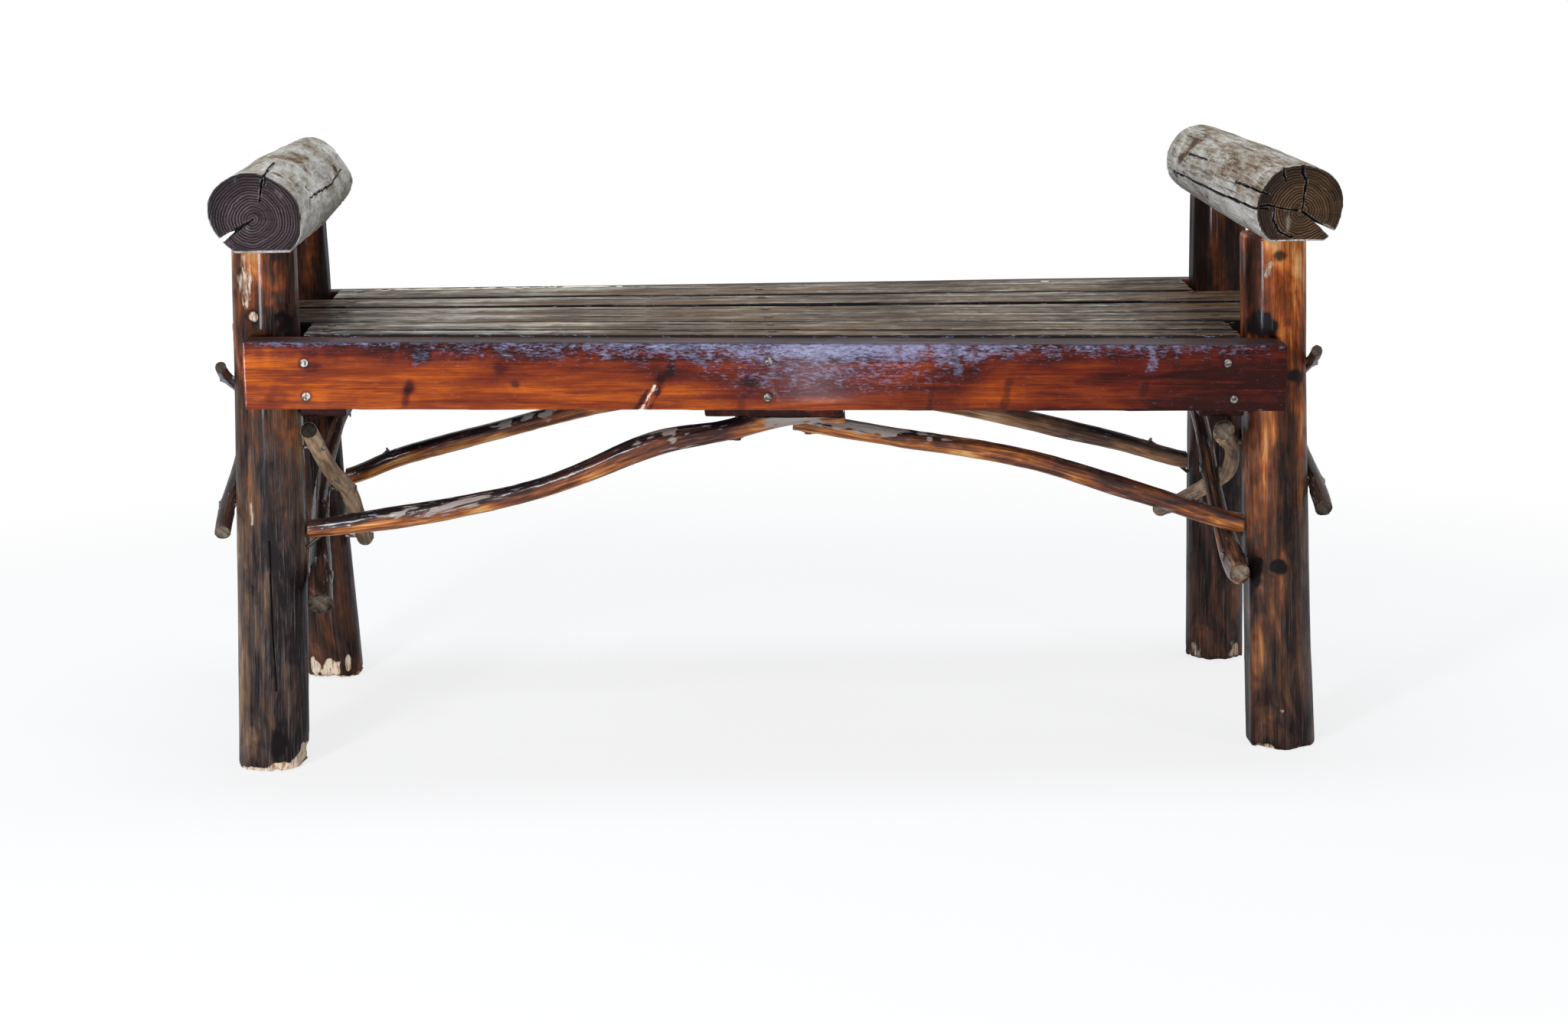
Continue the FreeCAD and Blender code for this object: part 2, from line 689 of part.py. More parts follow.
crossing_steps = 20
brace_reach = brace_radius * 6
arch_springs = {
    "front_left_arch": front_left_spring,
    "front_right_arch": front_right_spring,
    "back_left_arch": back_left_spring,
    "back_right_arch": back_right_spring,
}
brace_rises = {
    "outer_left_fall": (outer_left_high, outer_left_back_low),
    "outer_left_climb": (outer_left_low, outer_left_back_high),
    "outer_right_fall": (outer_right_high, outer_right_back_low),
    "outer_right_climb": (outer_right_low, outer_right_back_high),
    "inner_left_fall": (inner_left_high, inner_left_back_low),
    "inner_left_climb": (inner_left_low, inner_left_back_high),
    "inner_right_fall": (inner_right_high, inner_right_back_low),
    "inner_right_climb": (inner_right_low, inner_right_back_high),
}
legs = {name: make_leg(name) for name in leg_shares}
grown_legs = {name: leg_solid(leg, cope_clearance) for name, leg in legs.items()}
slat_fronts = slat_front_edges()
centre_left = centre_bearer_offset - centre_bearer_width / 2
centre_place = (centre_left, centre_left, centre_bearer_width)
bearer_places = {
    "left_end_bearer": end_bearer("left"),
    "centre_bearer": centre_place,
    "right_end_bearer": end_bearer("right"),
}

pieces = {}
nails = {}

for leg_name, leg in legs.items():
    leg_body = leg_solid(leg).fuse(tenon(leg))
    if "front" in leg_name:
        leg_body = leg_body.cut(apron_solid(-cut_overrun, front_apron_thick, bed_clearance))
    else:
        rear_edge = seat_depth + cut_overrun
        leg_body = leg_body.cut(apron_solid(rear_apron_front, rear_edge, bed_clearance))
    pieces[leg_name] = leg_body

for log_name in log_place_shares:
    pieces[log_name] = log_solid(log_name)

pieces["front_apron"] = apron_solid(0, front_apron_thick)
pieces["rear_apron"] = apron_solid(rear_apron_front, seat_depth)

for bearer_name, place in bearer_places.items():
    pieces[bearer_name] = bearer_solid(*place)

for index, slat_y in enumerate(slat_fronts, start=1):
    pieces[f"seat_slat_{index}"] = slat_solid(index, slat_y)

for arch_name in arch_shares:
    pieces[arch_name] = arch_solid(arch_name)

for brace_name in brace_shares:
    side = brace_name.split("_")[1]
    brace = brace_solid(brace_name)
    for row in ("front", "back"):
        brace = brace.cut(grown_legs[f"{row}_{side}_leg"])
    pieces[brace_name] = brace

drive_apron_nails()
drive_slat_nails()
drive_bearer_nails()
drive_arch_nails()
drive_brace_nails()

for group, members in nails.items():
    pieces[group] = Part.makeCompound(members)

whole = Part.makeCompound(list(pieces.values())).optimalBoundingBox(False)
centring = Vector(-whole.Center.x, -whole.Center.y, 0)

os.makedirs("parts", exist_ok=True)
for name, shape in pieces.items():
    shape.translate(centring)
    shape.exportStep(f"parts/{name}.step")
    print(f"{name:20} solids {len(shape.Solids):3} valid {shape.isValid()}")
print("centring", centring)
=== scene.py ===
"""Rustic log bench: weathered relief, procedural wood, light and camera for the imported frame."""

from __future__ import annotations

import logging
import math
from dataclasses import dataclass, field, fields
from enum import Enum
from typing import Optional, Sequence, Union

import bmesh
import bpy
import numpy as np
from mathutils import Matrix, Vector

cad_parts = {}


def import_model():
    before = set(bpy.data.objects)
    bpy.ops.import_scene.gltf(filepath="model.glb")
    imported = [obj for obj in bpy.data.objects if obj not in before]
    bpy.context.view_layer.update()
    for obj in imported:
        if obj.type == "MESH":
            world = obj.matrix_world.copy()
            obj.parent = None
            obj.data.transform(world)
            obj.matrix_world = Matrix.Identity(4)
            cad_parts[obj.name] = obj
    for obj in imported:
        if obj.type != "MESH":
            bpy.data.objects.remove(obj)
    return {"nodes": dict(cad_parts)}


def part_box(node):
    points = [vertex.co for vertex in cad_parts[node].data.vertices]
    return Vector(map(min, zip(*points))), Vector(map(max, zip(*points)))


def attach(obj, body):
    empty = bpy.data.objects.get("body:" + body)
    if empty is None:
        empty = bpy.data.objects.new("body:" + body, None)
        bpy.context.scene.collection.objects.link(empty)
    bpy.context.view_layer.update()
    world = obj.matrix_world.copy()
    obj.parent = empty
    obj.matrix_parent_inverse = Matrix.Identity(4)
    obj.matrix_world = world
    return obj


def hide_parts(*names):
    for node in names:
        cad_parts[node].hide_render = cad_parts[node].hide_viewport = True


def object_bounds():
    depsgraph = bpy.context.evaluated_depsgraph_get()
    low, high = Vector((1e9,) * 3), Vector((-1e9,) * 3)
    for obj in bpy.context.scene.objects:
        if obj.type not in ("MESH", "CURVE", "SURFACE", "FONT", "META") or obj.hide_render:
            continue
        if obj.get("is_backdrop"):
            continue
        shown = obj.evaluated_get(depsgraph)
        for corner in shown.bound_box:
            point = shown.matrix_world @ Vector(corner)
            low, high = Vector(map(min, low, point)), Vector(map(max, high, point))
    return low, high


LOG = logging.getLogger("bench")
Number = Union[int, float]
Colour = tuple[float, float, float, float]
Point = tuple[float, float, float]
Stops = Sequence[tuple[float, Colour]]


def srgb(red: int, green: int, blue: int) -> Colour:
    """Turn a colour as it is seen on a screen into the linear one that shaders take.

    Args:
        red, green, blue: Channels from 0 to 255.

    Returns:
        The linear colour with full alpha.
    """

    def linear(channel: int) -> float:
        """Undo the screen's curve for one channel."""
        share = channel / 255
        return share / 12.92 if share <= 0.04045 else ((share + 0.055) / 1.055) ** 2.4

    return (linear(red), linear(green), linear(blue), 1.0)


AXIS_PRIMES = (73856093, 19349663, 83492791)
SEED_PRIME = 2654435761
MIX_PRIME = 1274126177
LOW_BITS = 0xFFFF


def lattice(cells: np.ndarray, seed: int) -> np.ndarray:
    """Fixed pseudo-random value of each cell of a lattice.

    Args:
        cells: Whole-number cell coordinates, one row for each.
        seed: Picks one of many lattices.

    Returns:
        One value from -1 to 1 for each row.
    """
    first, second, third = (cells[:, i] * prime for i, prime in enumerate(AXIS_PRIMES))
    mixed = first ^ second ^ third ^ (seed * SEED_PRIME)
    mixed = (mixed ^ (mixed >> 13)) * MIX_PRIME
    return ((mixed ^ (mixed >> 16)) & LOW_BITS) / (LOW_BITS / 2) - 1.0


def noise(points: np.ndarray, seed: int) -> np.ndarray:
    """Smooth noise at many points.

    Args:
        points: Coordinates, one row for each point, with cells of unit size.
        seed: Picks one of many patterns.

    Returns:
        One value from -1 to 1 for each point.
    """
    cells = np.floor(points).astype(np.int64)
    part = points - cells
    ease = part * part * part * (part * (part * 6 - 15) + 10)
    total = np.zeros(len(points))
    for corner in np.ndindex(2, 2, 2):
        step = np.array(corner)
        weight = np.prod(np.where(step, ease, 1 - ease), axis=1)
        total += weight * lattice(cells + step, seed)
    return total


def smooth(low: float, high: float, values: np.ndarray) -> np.ndarray:
    """Smooth step from 0 at low to 1 at high.

    Args:
        low: Where the step starts; it may be the greater of the two.
        high: Where the step ends.
        values: What is stepped.

    Returns:
        The stepped values.
    """
    share = np.clip((values - low) / (high - low), 0, 1)
    return share * share * (3 - 2 * share)


class Spine:
    """Centre line of a piece, worked out from slices across its longest side."""

    def __init__(self, points: np.ndarray, slices: int = 48) -> None:
        """Find the centre line.

        Args:
            points: The piece's vertices.
            slices: How many slices are taken.
        """
        spans = points.max(axis=0) - points.min(axis=0)
        self.axis = int(np.argmax(spans))
        place = points[:, self.axis]
        edges = np.linspace(place.min(), place.max(), slices + 1)
        index = np.clip(np.digitize(place, edges) - 1, 0, slices - 1)
        low = np.full((slices, 3), np.inf)
        high = np.full((slices, 3), -np.inf)
        np.minimum.at(low, index, points)
        np.maximum.at(high, index, points)
        centres = (low + high) / 2
        centres[:, self.axis] = (edges[:-1] + edges[1:]) / 2
        for _ in range(2):
            centres[1:-1] = (centres[:-2] + centres[1:-1] * 2 + centres[2:]) / 4
        self.centres = centres
        runs = np.linalg.norm(np.diff(centres, axis=0), axis=1)
        self.lengths = np.concatenate([[0.0], np.cumsum(runs)])
        along = np.gradient(centres, axis=0)
        self.along = along / np.linalg.norm(along, axis=1)[:, None]
        reference = np.array([1.0, 0.0, 0.0]) if self.axis else np.array([0.0, 1.0, 0.0])
        across = reference - self.along * (self.along @ reference)[:, None]
        self.across = across / np.linalg.norm(across, axis=1)[:, None]
        self.upward = np.cross(self.along, self.across) * (-1 if self.axis == 1 else 1)

    def _at(self, table: np.ndarray, place: np.ndarray) -> np.ndarray:
        """Read a table of the centre line between its slices.

        Args:
            table: One row for each slice.
            place: Where it is read along the longest side.

        Returns:
            One row for each place.
        """
        knots = self.centres[:, self.axis]
        return np.stack([np.interp(place, knots, table[:, i]) for i in range(3)], axis=1)

    def grain(self, points: np.ndarray) -> np.ndarray:
        """Give each point its place in the wood.

        Args:
            points: Vertices of the piece.

        Returns:
            For each, the length along the grain and the two offsets from the centre line.
        """
        place = points[:, self.axis]
        offset = points - self._at(self.centres, place)
        along = np.interp(place, self.centres[:, self.axis], self.lengths)
        beyond = place - np.clip(place, self.centres[0, self.axis], self.centres[-1, self.axis])
        aside = np.einsum("ij,ij->i", offset, self._at(self.across, place))
        above = np.einsum("ij,ij->i", offset, self._at(self.upward, place))
        return np.stack([along + beyond, aside, above], axis=1)

    def tangents(self, points: np.ndarray) -> np.ndarray:
        """Give the direction of the grain at each point."""
        return self._at(self.along, points[:, self.axis])


class Value:
    """Socket of a shader graph that takes part in plain arithmetic."""

    def __init__(self, graph: Graph, socket: bpy.types.NodeSocket) -> None:
        """Wrap an output socket of a graph."""
        self.graph = graph
        self.socket = socket

    def _math(self, operation: str, first: Source, second: Source) -> Value:
        """Add one Math node."""
        return self.graph.node("ShaderNodeMath", (first, second), operation=operation)

    def __add__(self, other: Source) -> Value:
        """Add to the value."""
        return self._math("ADD", self, other)

    def __radd__(self, other: Source) -> Value:
        """Add the value to a number."""
        return self._math("ADD", other, self)

    def __sub__(self, other: Source) -> Value:
        """Take away from the value."""
        return self._math("SUBTRACT", self, other)

    def __rsub__(self, other: Source) -> Value:
        """Take the value away from a number."""
        return self._math("SUBTRACT", other, self)

    def __mul__(self, other: Source) -> Value:
        """Multiply the value."""
        return self._math("MULTIPLY", self, other)

    def __rmul__(self, other: Source) -> Value:
        """Multiply a number by the value."""
        return self._math("MULTIPLY", other, self)

    def __pow__(self, other: Source) -> Value:
        """Raise the value to a power."""
        return self._math("POWER", self, other)

    def most(self, other: Source) -> Value:
        """Take the greater of the value and another."""
        return self._math("MAXIMUM", self, other)

    def sine(self) -> Value:
        """Take the sine of the value."""
        return self.graph.node("ShaderNodeMath", (self,), operation="SINE")

    def step(self, low: float, high: float) -> Value:
        """Smooth step from 0 at low to 1 at high.

        Args:
            low: Where the step starts; it may be the greater of the two.
            high: Where the step ends.

        Returns:
            The stepped value.
        """
        start, end, first, last = (low, high, 0.0, 1.0) if low < high else (high, low, 1.0, 0.0)
        return self.graph.node(
            "ShaderNodeMapRange", (self, start, end, first, last), interpolation_type="SMOOTHSTEP"
        )


Source = Union[Value, Number, Sequence[float]]


class Graph:
    """Node tree of one material or of the world."""

    def __init__(
        self, owner: Union[bpy.types.Material, bpy.types.World],
        closing: str = "ShaderNodeOutputMaterial",
    ) -> None:
        """Empty the tree, but for the node that closes it.

        Args:
            owner: What the tree belongs to.
            closing: Type of the node that closes it.
        """
        owner.use_nodes = True
        self.owner = owner
        self.tree = owner.node_tree
        self.tree.nodes.clear()
        self.output = self.tree.nodes.new(closing)

    def node(
        self,
        kind: str,
        inputs: Union[Sequence[Source], dict[Union[int, str], Source]] = (),
        output: Union[int, str] = 0,
        stops: Stops = (),
        **settings: object,
    ) -> Value:
        """Add a node.

        Args:
            kind: The node's type.
            inputs: What goes into its sockets, in order, or by number or name.
            output: Which output is wanted.
            stops: Places from 0 to 1 on a ramp and the colours there.
            settings: The node's own properties.

        Returns:
            The wanted output.
        """
        node = self.tree.nodes.new(kind)
        for name, value in settings.items():
            setattr(node, name, value)
        if stops:
            elements = node.color_ramp.elements
            elements[0].position, elements[0].color = stops[0]
            elements[1].position, elements[1].color = stops[-1]
            for place, tint in stops[1:-1]:
                elements.new(place).color = tint
        pairs = inputs.items() if isinstance(inputs, dict) else enumerate(inputs)
        for key, value in pairs:
            if isinstance(value, Value):
                self.tree.links.new(value.socket, node.inputs[key])
            else:
                node.inputs[key].default_value = value
        return Value(self, node.outputs[output])

    def attribute(self, name: str, output: str = "Vector") -> Value:
        """Read an attribute of the mesh."""
        return self.node("ShaderNodeAttribute", output=output, attribute_name=name)

    def place(self) -> Value:
        """Read the place in the row frame, as objects stand at its origin."""
        return self.node("ShaderNodeTexCoord", output="Object")

    def ray(self, kind: str) -> Value:
        """Tell whether the light path is of one kind, by the name of the node's output."""
        return self.node("ShaderNodeLightPath", output=kind)

    def split(self, vector: Value) -> tuple[Value, Value, Value]:
        """Take a vector apart into its three parts."""
        node = self.node("ShaderNodeSeparateXYZ", (vector,)).socket.node
        return tuple(Value(self, output) for output in node.outputs)

    def noise(
        self, vector: Value, factors: Sequence[float], detail: float, rough: float,
        bend: float = 0.0,
    ) -> Value:
        """Smooth noise.

        Args:
            vector: Where it is read.
            factors: Cells to the metre along each part of the vector.
            detail: Octaves.
            rough: How much the finer octaves count.
            bend: How far the pattern is bent by itself.

        Returns:
            Noise around 0.5.
        """
        scaled = self.node("ShaderNodeVectorMath", (vector, factors), operation="MULTIPLY")
        inputs = {
            "Vector": scaled, "Scale": 1.0, "Detail": detail, "Roughness": rough,
            "Distortion": bend,
        }
        return self.node("ShaderNodeTexNoise", inputs)

    def mix(self, first: Source, second: Source, share: Source) -> Value:
        """Blend two colours.

        Args:
            first: The colour at share 0.
            second: The colour at share 1.
            share: How much of the second.

        Returns:
            The blended colour.
        """
        inputs = {0: share, 6: first, 7: second}
        return self.node("ShaderNodeMix", inputs, output=2, data_type="RGBA")

    def ramp(self, value: Value, stops: Stops) -> Value:
        """Turn a value from 0 to 1 into a colour between stops."""
        return self.node("ShaderNodeValToRGB", (value,), stops=stops)

    def dim(self, colour: Value, share: Source) -> Value:
        """Multiply a colour by a grey."""
        inputs = {"Vector": colour, "Scale": share}
        return self.node("ShaderNodeVectorMath", inputs, operation="SCALE")

    def bump(self, height: Value, depth: float, strength: float) -> Value:
        """Turn a height into a normal.

        Args:
            height: Height, from 0 to 1.
            depth: What a height of 1 is, in metres.
            strength: How much of it shows.

        Returns:
            The normal.
        """
        inputs = {"Height": height, "Distance": depth, "Strength": strength}
        return self.node("ShaderNodeBump", inputs)

    def close(self, shader: Value) -> None:
        """Join a shader to the node that closes the graph."""
        self.tree.links.new(shader.socket, self.output.inputs["Surface"])

    def finish(self, **inputs: Source) -> bpy.types.Material:
        """Close the graph with the surface shader.

        Args:
            inputs: The shader's sockets, with _ for the spaces in their names.

        Returns:
            The material.
        """
        named = {key.replace("_", " "): value for key, value in inputs.items()}
        self.close(self.node("ShaderNodeBsdfPrincipled", named))
        return self.owner


class WoodGraph(Graph):
    """Graph of one wood, with what is painted on the timbers at hand."""

    SPECULAR = 0.05
    COAT_ROUGHNESS = 0.12
    COAT_IOR = 1.36
    BUMP_STRENGTH = 0.9

    def __init__(self, name: str) -> None:
        """Make an empty material that reads the timbers' attributes.

        Args:
            name: The material's name.
        """
        super().__init__(bpy.data.materials.new(name))
        self.grain = self.attribute("grain")
        self.stain, self.wear, self.cut = self.split(self.attribute("marks", "Color"))
        self.tone, self.haze, self.side = self.split(self.attribute("tint", "Color"))

    def figure(
        self, along: float, across: float, detail: float, rough: float, bend: float = 0.0
    ) -> Value:
        """Noise that follows the grain.

        Args:
            along: Cells to the metre along the grain.
            across: Cells to the metre across it.
            detail: Octaves.
            rough: How much the finer octaves count.
            bend: How far the pattern is bent by itself.

        Returns:
            Noise around 0.5.
        """
        return self.noise(self.grain, (along, across, across), detail, rough, bend)

    def level(self, *layers: tuple[Value, float]) -> Value:
        """Add layers of noise to the tone.

        Args:
            layers: Each noise with its weight.

        Returns:
            How dark the wood is, from 0 to 1 for the most part.
        """
        level = self.tone
        for layer, weight in layers:
            level = level + (layer - 0.5) * weight
        return level

    def varnish(
        self, colour: Value, rough: Source, height: Value, depth: float, coat: Source
    ) -> bpy.types.Material:
        """Close the graph as wood with a weak mirror image, under more or less varnish.

        Args:
            colour: Its colour.
            rough: Its roughness.
            height: Its raised grain, from 0 to 1.
            depth: What a height of 1 is, in metres.
            coat: How much varnish lies on it.

        Returns:
            The material.
        """
        return self.finish(
            Base_Color=colour, Roughness=rough, Specular_IOR_Level=self.SPECULAR,
            Coat_Weight=coat, Coat_Roughness=self.COAT_ROUGHNESS, Coat_IOR=self.COAT_IOR,
            Normal=self.bump(height, depth, self.BUMP_STRENGTH),
        )


@dataclass(frozen=True)
class Varnished:
    """Glossy varnished wood with streaks, dark knots and pale worn arrises, and on boards a
    painted reflection of the sky.

    Attributes:
        name: The material's name.
        stops: Its colours from the brightest to the darkest.
        board: Whether it is sawn timber and not a round pole.
    """

    name: str
    stops: Stops
    board: bool

    DRY = (
        (0.0, srgb(178, 146, 102)), (0.3, srgb(130, 102, 72)), (0.55, srgb(90, 71, 54)),
        (0.8, srgb(62, 50, 45)), (1.0, srgb(30, 24, 24)),
    )
    BLOOM = srgb(158, 158, 190)
    SCRATCHED = srgb(146, 138, 134)
    WORN = srgb(232, 214, 190)
    TANNED = srgb(170, 122, 78)
    KNOT = srgb(20, 13, 14)
    SHADED = srgb(46, 38, 38)

    def _clouded(self, wood: WoodGraph, level: Value, speck: Value) -> Value:
        """Lay a painted reflection of the sky on a board, or dryness on a pole, where it is
        painted on.

        Args:
            wood: The graph.
            level: How dark the wood is.
            speck: Noise of small specks.

        Returns:
            The colour.
        """
        colour = wood.ramp(level, self.stops)
        if self.board:
            # Painted reflection: pale blue specks that stand for the sky mirrored in the varnish.
            painted_reflection = (wood.haze * 0.42 + speck - 0.66).step(-0.06, 0.42)
            return wood.mix(colour, self.BLOOM, painted_reflection * 0.85)
        scratch = wood.figure(20, 480, 4, 0.7).step(0.52, 0.70)
        dry = wood.mix(wood.ramp(level, self.DRY), self.SCRATCHED, scratch * 0.4)
        return wood.mix(colour, dry, wood.haze)

    def build(self) -> bpy.types.Material:
        """Make the material.

        Returns:
            The material.
        """
        wood = WoodGraph(self.name)
        stain, wear, top = wood.stain, wood.wear, wood.side
        if self.board:
            patch, streak = wood.figure(6, 22, 4, 0.6, 0.6), wood.figure(6, 130, 4, 0.6, 0.35)
        else:
            patch, streak = wood.figure(13, 34, 4, 0.6, 0.6), wood.figure(12, 170, 4, 0.6, 0.35)
        fine = wood.figure(20, 700, 4, 0.7)
        speck = wood.figure(170, 560, 3, 0.7, 0.4)
        level = wood.level((patch, 1.3 if self.board else 1.6), (streak, 0.85), (fine, 0.65))
        colour = self._clouded(wood, level, speck)
        chip = wood.figure(55, 170, 4, 0.65)
        shade = wood.figure(90, 330, 3, 0.65)
        pale = wood.mix(self.WORN, self.TANNED, shade.step(0.47, 0.66))
        colour = wood.mix(colour, pale, (wear * 1.4 + (chip - 0.5) * wear * 3.4).step(0.35, 0.75))
        knot = (stain * 1.3 + (shade - 0.5) * stain).step(0.1, 1.0)
        colour = wood.mix(colour, self.KNOT, knot)
        if self.board:
            colour = wood.mix(colour, self.SHADED, top * 0.8)
        lump = wood.figure(60, 110, 3, 0.6)
        height = streak * 0.35 + fine * 0.3 + lump * 0.35 + speck * (wood.haze * 0.5)
        rough = patch.step(0.35, 0.65) * 0.2 + 0.4 + wear * 0.3
        full = 0.50 if self.board else 0.58
        coat = (1.0 - wear * 0.8) * (1.0 - top * 0.8) * (full - wood.tone * 0.22)
        return wood.varnish(colour, rough, height, 0.0014, coat)


@dataclass(frozen=True)
class Weathered:
    """Bare boards gone grey outdoors, with raised grain, painted shade on their sides and
    undersides, and painted glints.

    Attributes:
        name: The material's name.
    """

    name: str

    STOPS = (
        (0.0, srgb(200, 194, 178)), (0.25, srgb(152, 146, 132)), (0.5, srgb(110, 103, 94)),
        (0.75, srgb(72, 63, 56)), (1.0, srgb(32, 27, 25)),
    )
    WARM = srgb(112, 82, 50)
    FLECK = srgb(36, 31, 30)
    WORN = srgb(228, 218, 192)
    OLD_VARNISH = srgb(17, 13, 14)
    GLINT = srgb(176, 186, 214)
    STAIN = srgb(24, 18, 18)

    def build(self) -> bpy.types.Material:
        """Make the material.

        Returns:
            The material.
        """
        wood = WoodGraph(self.name)
        wear, side = wood.wear, wood.side
        patch = wood.figure(5, 26, 5, 0.65, 0.7)
        streak = wood.figure(5, 95, 4, 0.65, 0.4)
        fine = wood.figure(18, 420, 4, 0.7)
        mottle = wood.figure(34, 60, 4, 0.7, 0.8)
        level = wood.level((patch, 1.8), (streak, 2.0), (fine, 1.3), (mottle, 1.3)) + 0.04
        colour = wood.ramp(level, self.STOPS)
        warm = wood.figure(3, 36, 3, 0.6, 0.5).step(0.50, 0.64)
        colour = wood.mix(colour, self.WARM, warm * 0.5)
        fleck = wood.figure(40, 240, 4, 0.7).step(0.62, 0.72)
        colour = wood.mix(colour, self.FLECK, fleck * 0.8)
        worn = (wear * 1.5 + (fine - 0.5) * wear * 3).step(0.2, 0.8)
        colour = wood.mix(colour, self.WORN, worn)
        # Painted shade: the sides, ends and undersides go nearly black, so the gaps between the
        # slats read dark.
        colour = wood.mix(colour, self.OLD_VARNISH, side.step(0.3, 0.7) * 0.97)
        # Painted glint: pale blue dashes that stand for highlights along the slats' tops and
        # edges.
        speck = wood.figure(70, 420, 3, 0.7)
        painted_glint = (wood.haze * 0.4 + side * 0.10 + speck - 0.70).step(0.0, 0.16)
        colour = wood.mix(colour, self.GLINT, painted_glint * 0.85)
        colour = wood.mix(colour, self.STAIN, wood.stain)
        height = streak * 0.45 + fine * 0.4 + fleck * -0.3
        rough = streak * 0.3 + 0.5 + wear * 0.2
        return wood.varnish(colour, rough, height, 0.0016, side * 0.5 + 0.04)


@dataclass(frozen=True)
class LogWood:
    """Grey weathered log with mottles and fine checks, and ringed end grain.

    Attributes:
        name: The material's name.
        pith: Where the rings' middle is, across and up in the row frame.
        rings: Colour of the paler rings of the end grain.
        heart: Colour of the darker ones.
        fibrous: How much its side shows fibres and not mottles.
    """

    name: str
    pith: tuple[float, float]
    rings: Colour
    heart: Colour
    fibrous: float

    STOPS = (
        (0.0, srgb(228, 224, 216)), (0.3, srgb(196, 192, 184)), (0.5, srgb(170, 164, 154)),
        (0.7, srgb(146, 134, 118)), (0.85, srgb(122, 104, 84)), (1.0, srgb(78, 66, 56)),
    )
    THREAD = srgb(54, 47, 45)
    FLECK = srgb(70, 60, 54)
    WORN = srgb(216, 208, 190)
    STAIN = srgb(24, 18, 18)
    RIM = srgb(22, 16, 16)
    SHEEN = srgb(104, 104, 128)
    RINGS_TO_METRE = 2300.0

    def _end(self, wood: WoodGraph) -> tuple[Value, Value]:
        """Draw the end grain, with its rings and saw marks.

        Args:
            wood: The graph.

        Returns:
            Its colour, and the wave of its rings.
        """
        x, _, z = wood.split(wood.place())
        off_x, off_z = x - self.pith[0], z - self.pith[1]
        radius = (off_x * off_x + off_z * off_z) ** 0.5
        bend = wood.figure(0, 36, 3, 0.6)
        wave = (radius * self.RINGS_TO_METRE + bend * 16.0).sine()
        ring = wave * 0.5 + wood.figure(0, 420, 3, 0.6) * 0.9
        bent = wood.node("ShaderNodeCombineXYZ", (radius + bend * 0.01,))
        band = wood.noise(bent, (190, 1, 1), 2, 0.6)
        saw = wood.noise(wood.place(), (70, 70, 800), 4, 0.7)
        plain = wood.noise(wood.place(), (34, 34, 34), 3, 0.6).step(0.36, 0.62)
        level = ring * (plain * 0.75 + 0.2) + band * 1.3 + saw * 0.7 - plain * 0.3
        face = wood.mix(self.heart, self.rings, level.step(0.75, 1.75))
        rim = (radius + off_x * -0.15).step(0.024, 0.050)
        face = wood.mix(face, self.RIM, rim * 0.75)
        sheen = wood.haze * ring.step(0.7, 1.0) * off_x.step(0.0, -0.03)
        return wood.mix(face, self.SHEEN, sheen * 0.3), ring

    def build(self) -> bpy.types.Material:
        """Make the material.

        Returns:
            The material.
        """
        wood = WoodGraph(self.name)
        cut, fibrous = wood.cut, self.fibrous
        cloud = wood.figure(9, 24, 5, 0.65, 0.8)
        mottle = wood.figure(26, 64, 5, 0.7, 1.2)
        fibre = wood.figure(18, 240, 5, 0.75, 0.5)
        dust = wood.figure(240, 420, 4, 0.75)
        level = wood.level(
            (cloud, 2.1 - 0.9 * fibrous), (mottle, 1.4 - 0.6 * fibrous), (dust, 0.8),
            (fibre, 0.4 + 1.5 * fibrous),
        )
        colour = wood.ramp(level, self.STOPS)
        thread = wood.figure(12, 260, 4, 0.7, 0.5).step(0.57, 0.66)
        colour = wood.mix(colour, self.THREAD, thread * (0.25 + 0.6 * fibrous))
        fleck = wood.figure(40, 120, 4, 0.75, 1.2).step(0.61, 0.69)
        colour = wood.mix(colour, self.FLECK, fleck * 0.7)
        face, ring = self._end(wood)
        colour = wood.mix(colour, face, cut)
        colour = wood.mix(colour, self.WORN, wood.wear)
        colour = wood.mix(colour, self.STAIN, wood.stain)
        height = (fibre * 0.4 + mottle * 0.4 + dust * 0.2) * (1.0 - cut) + ring * cut * 0.18
        rough = (1.0 - cut) * 0.15 + fibre * 0.15 + 0.5
        return wood.varnish(colour, rough, height, 0.0018, cut * 0.06)


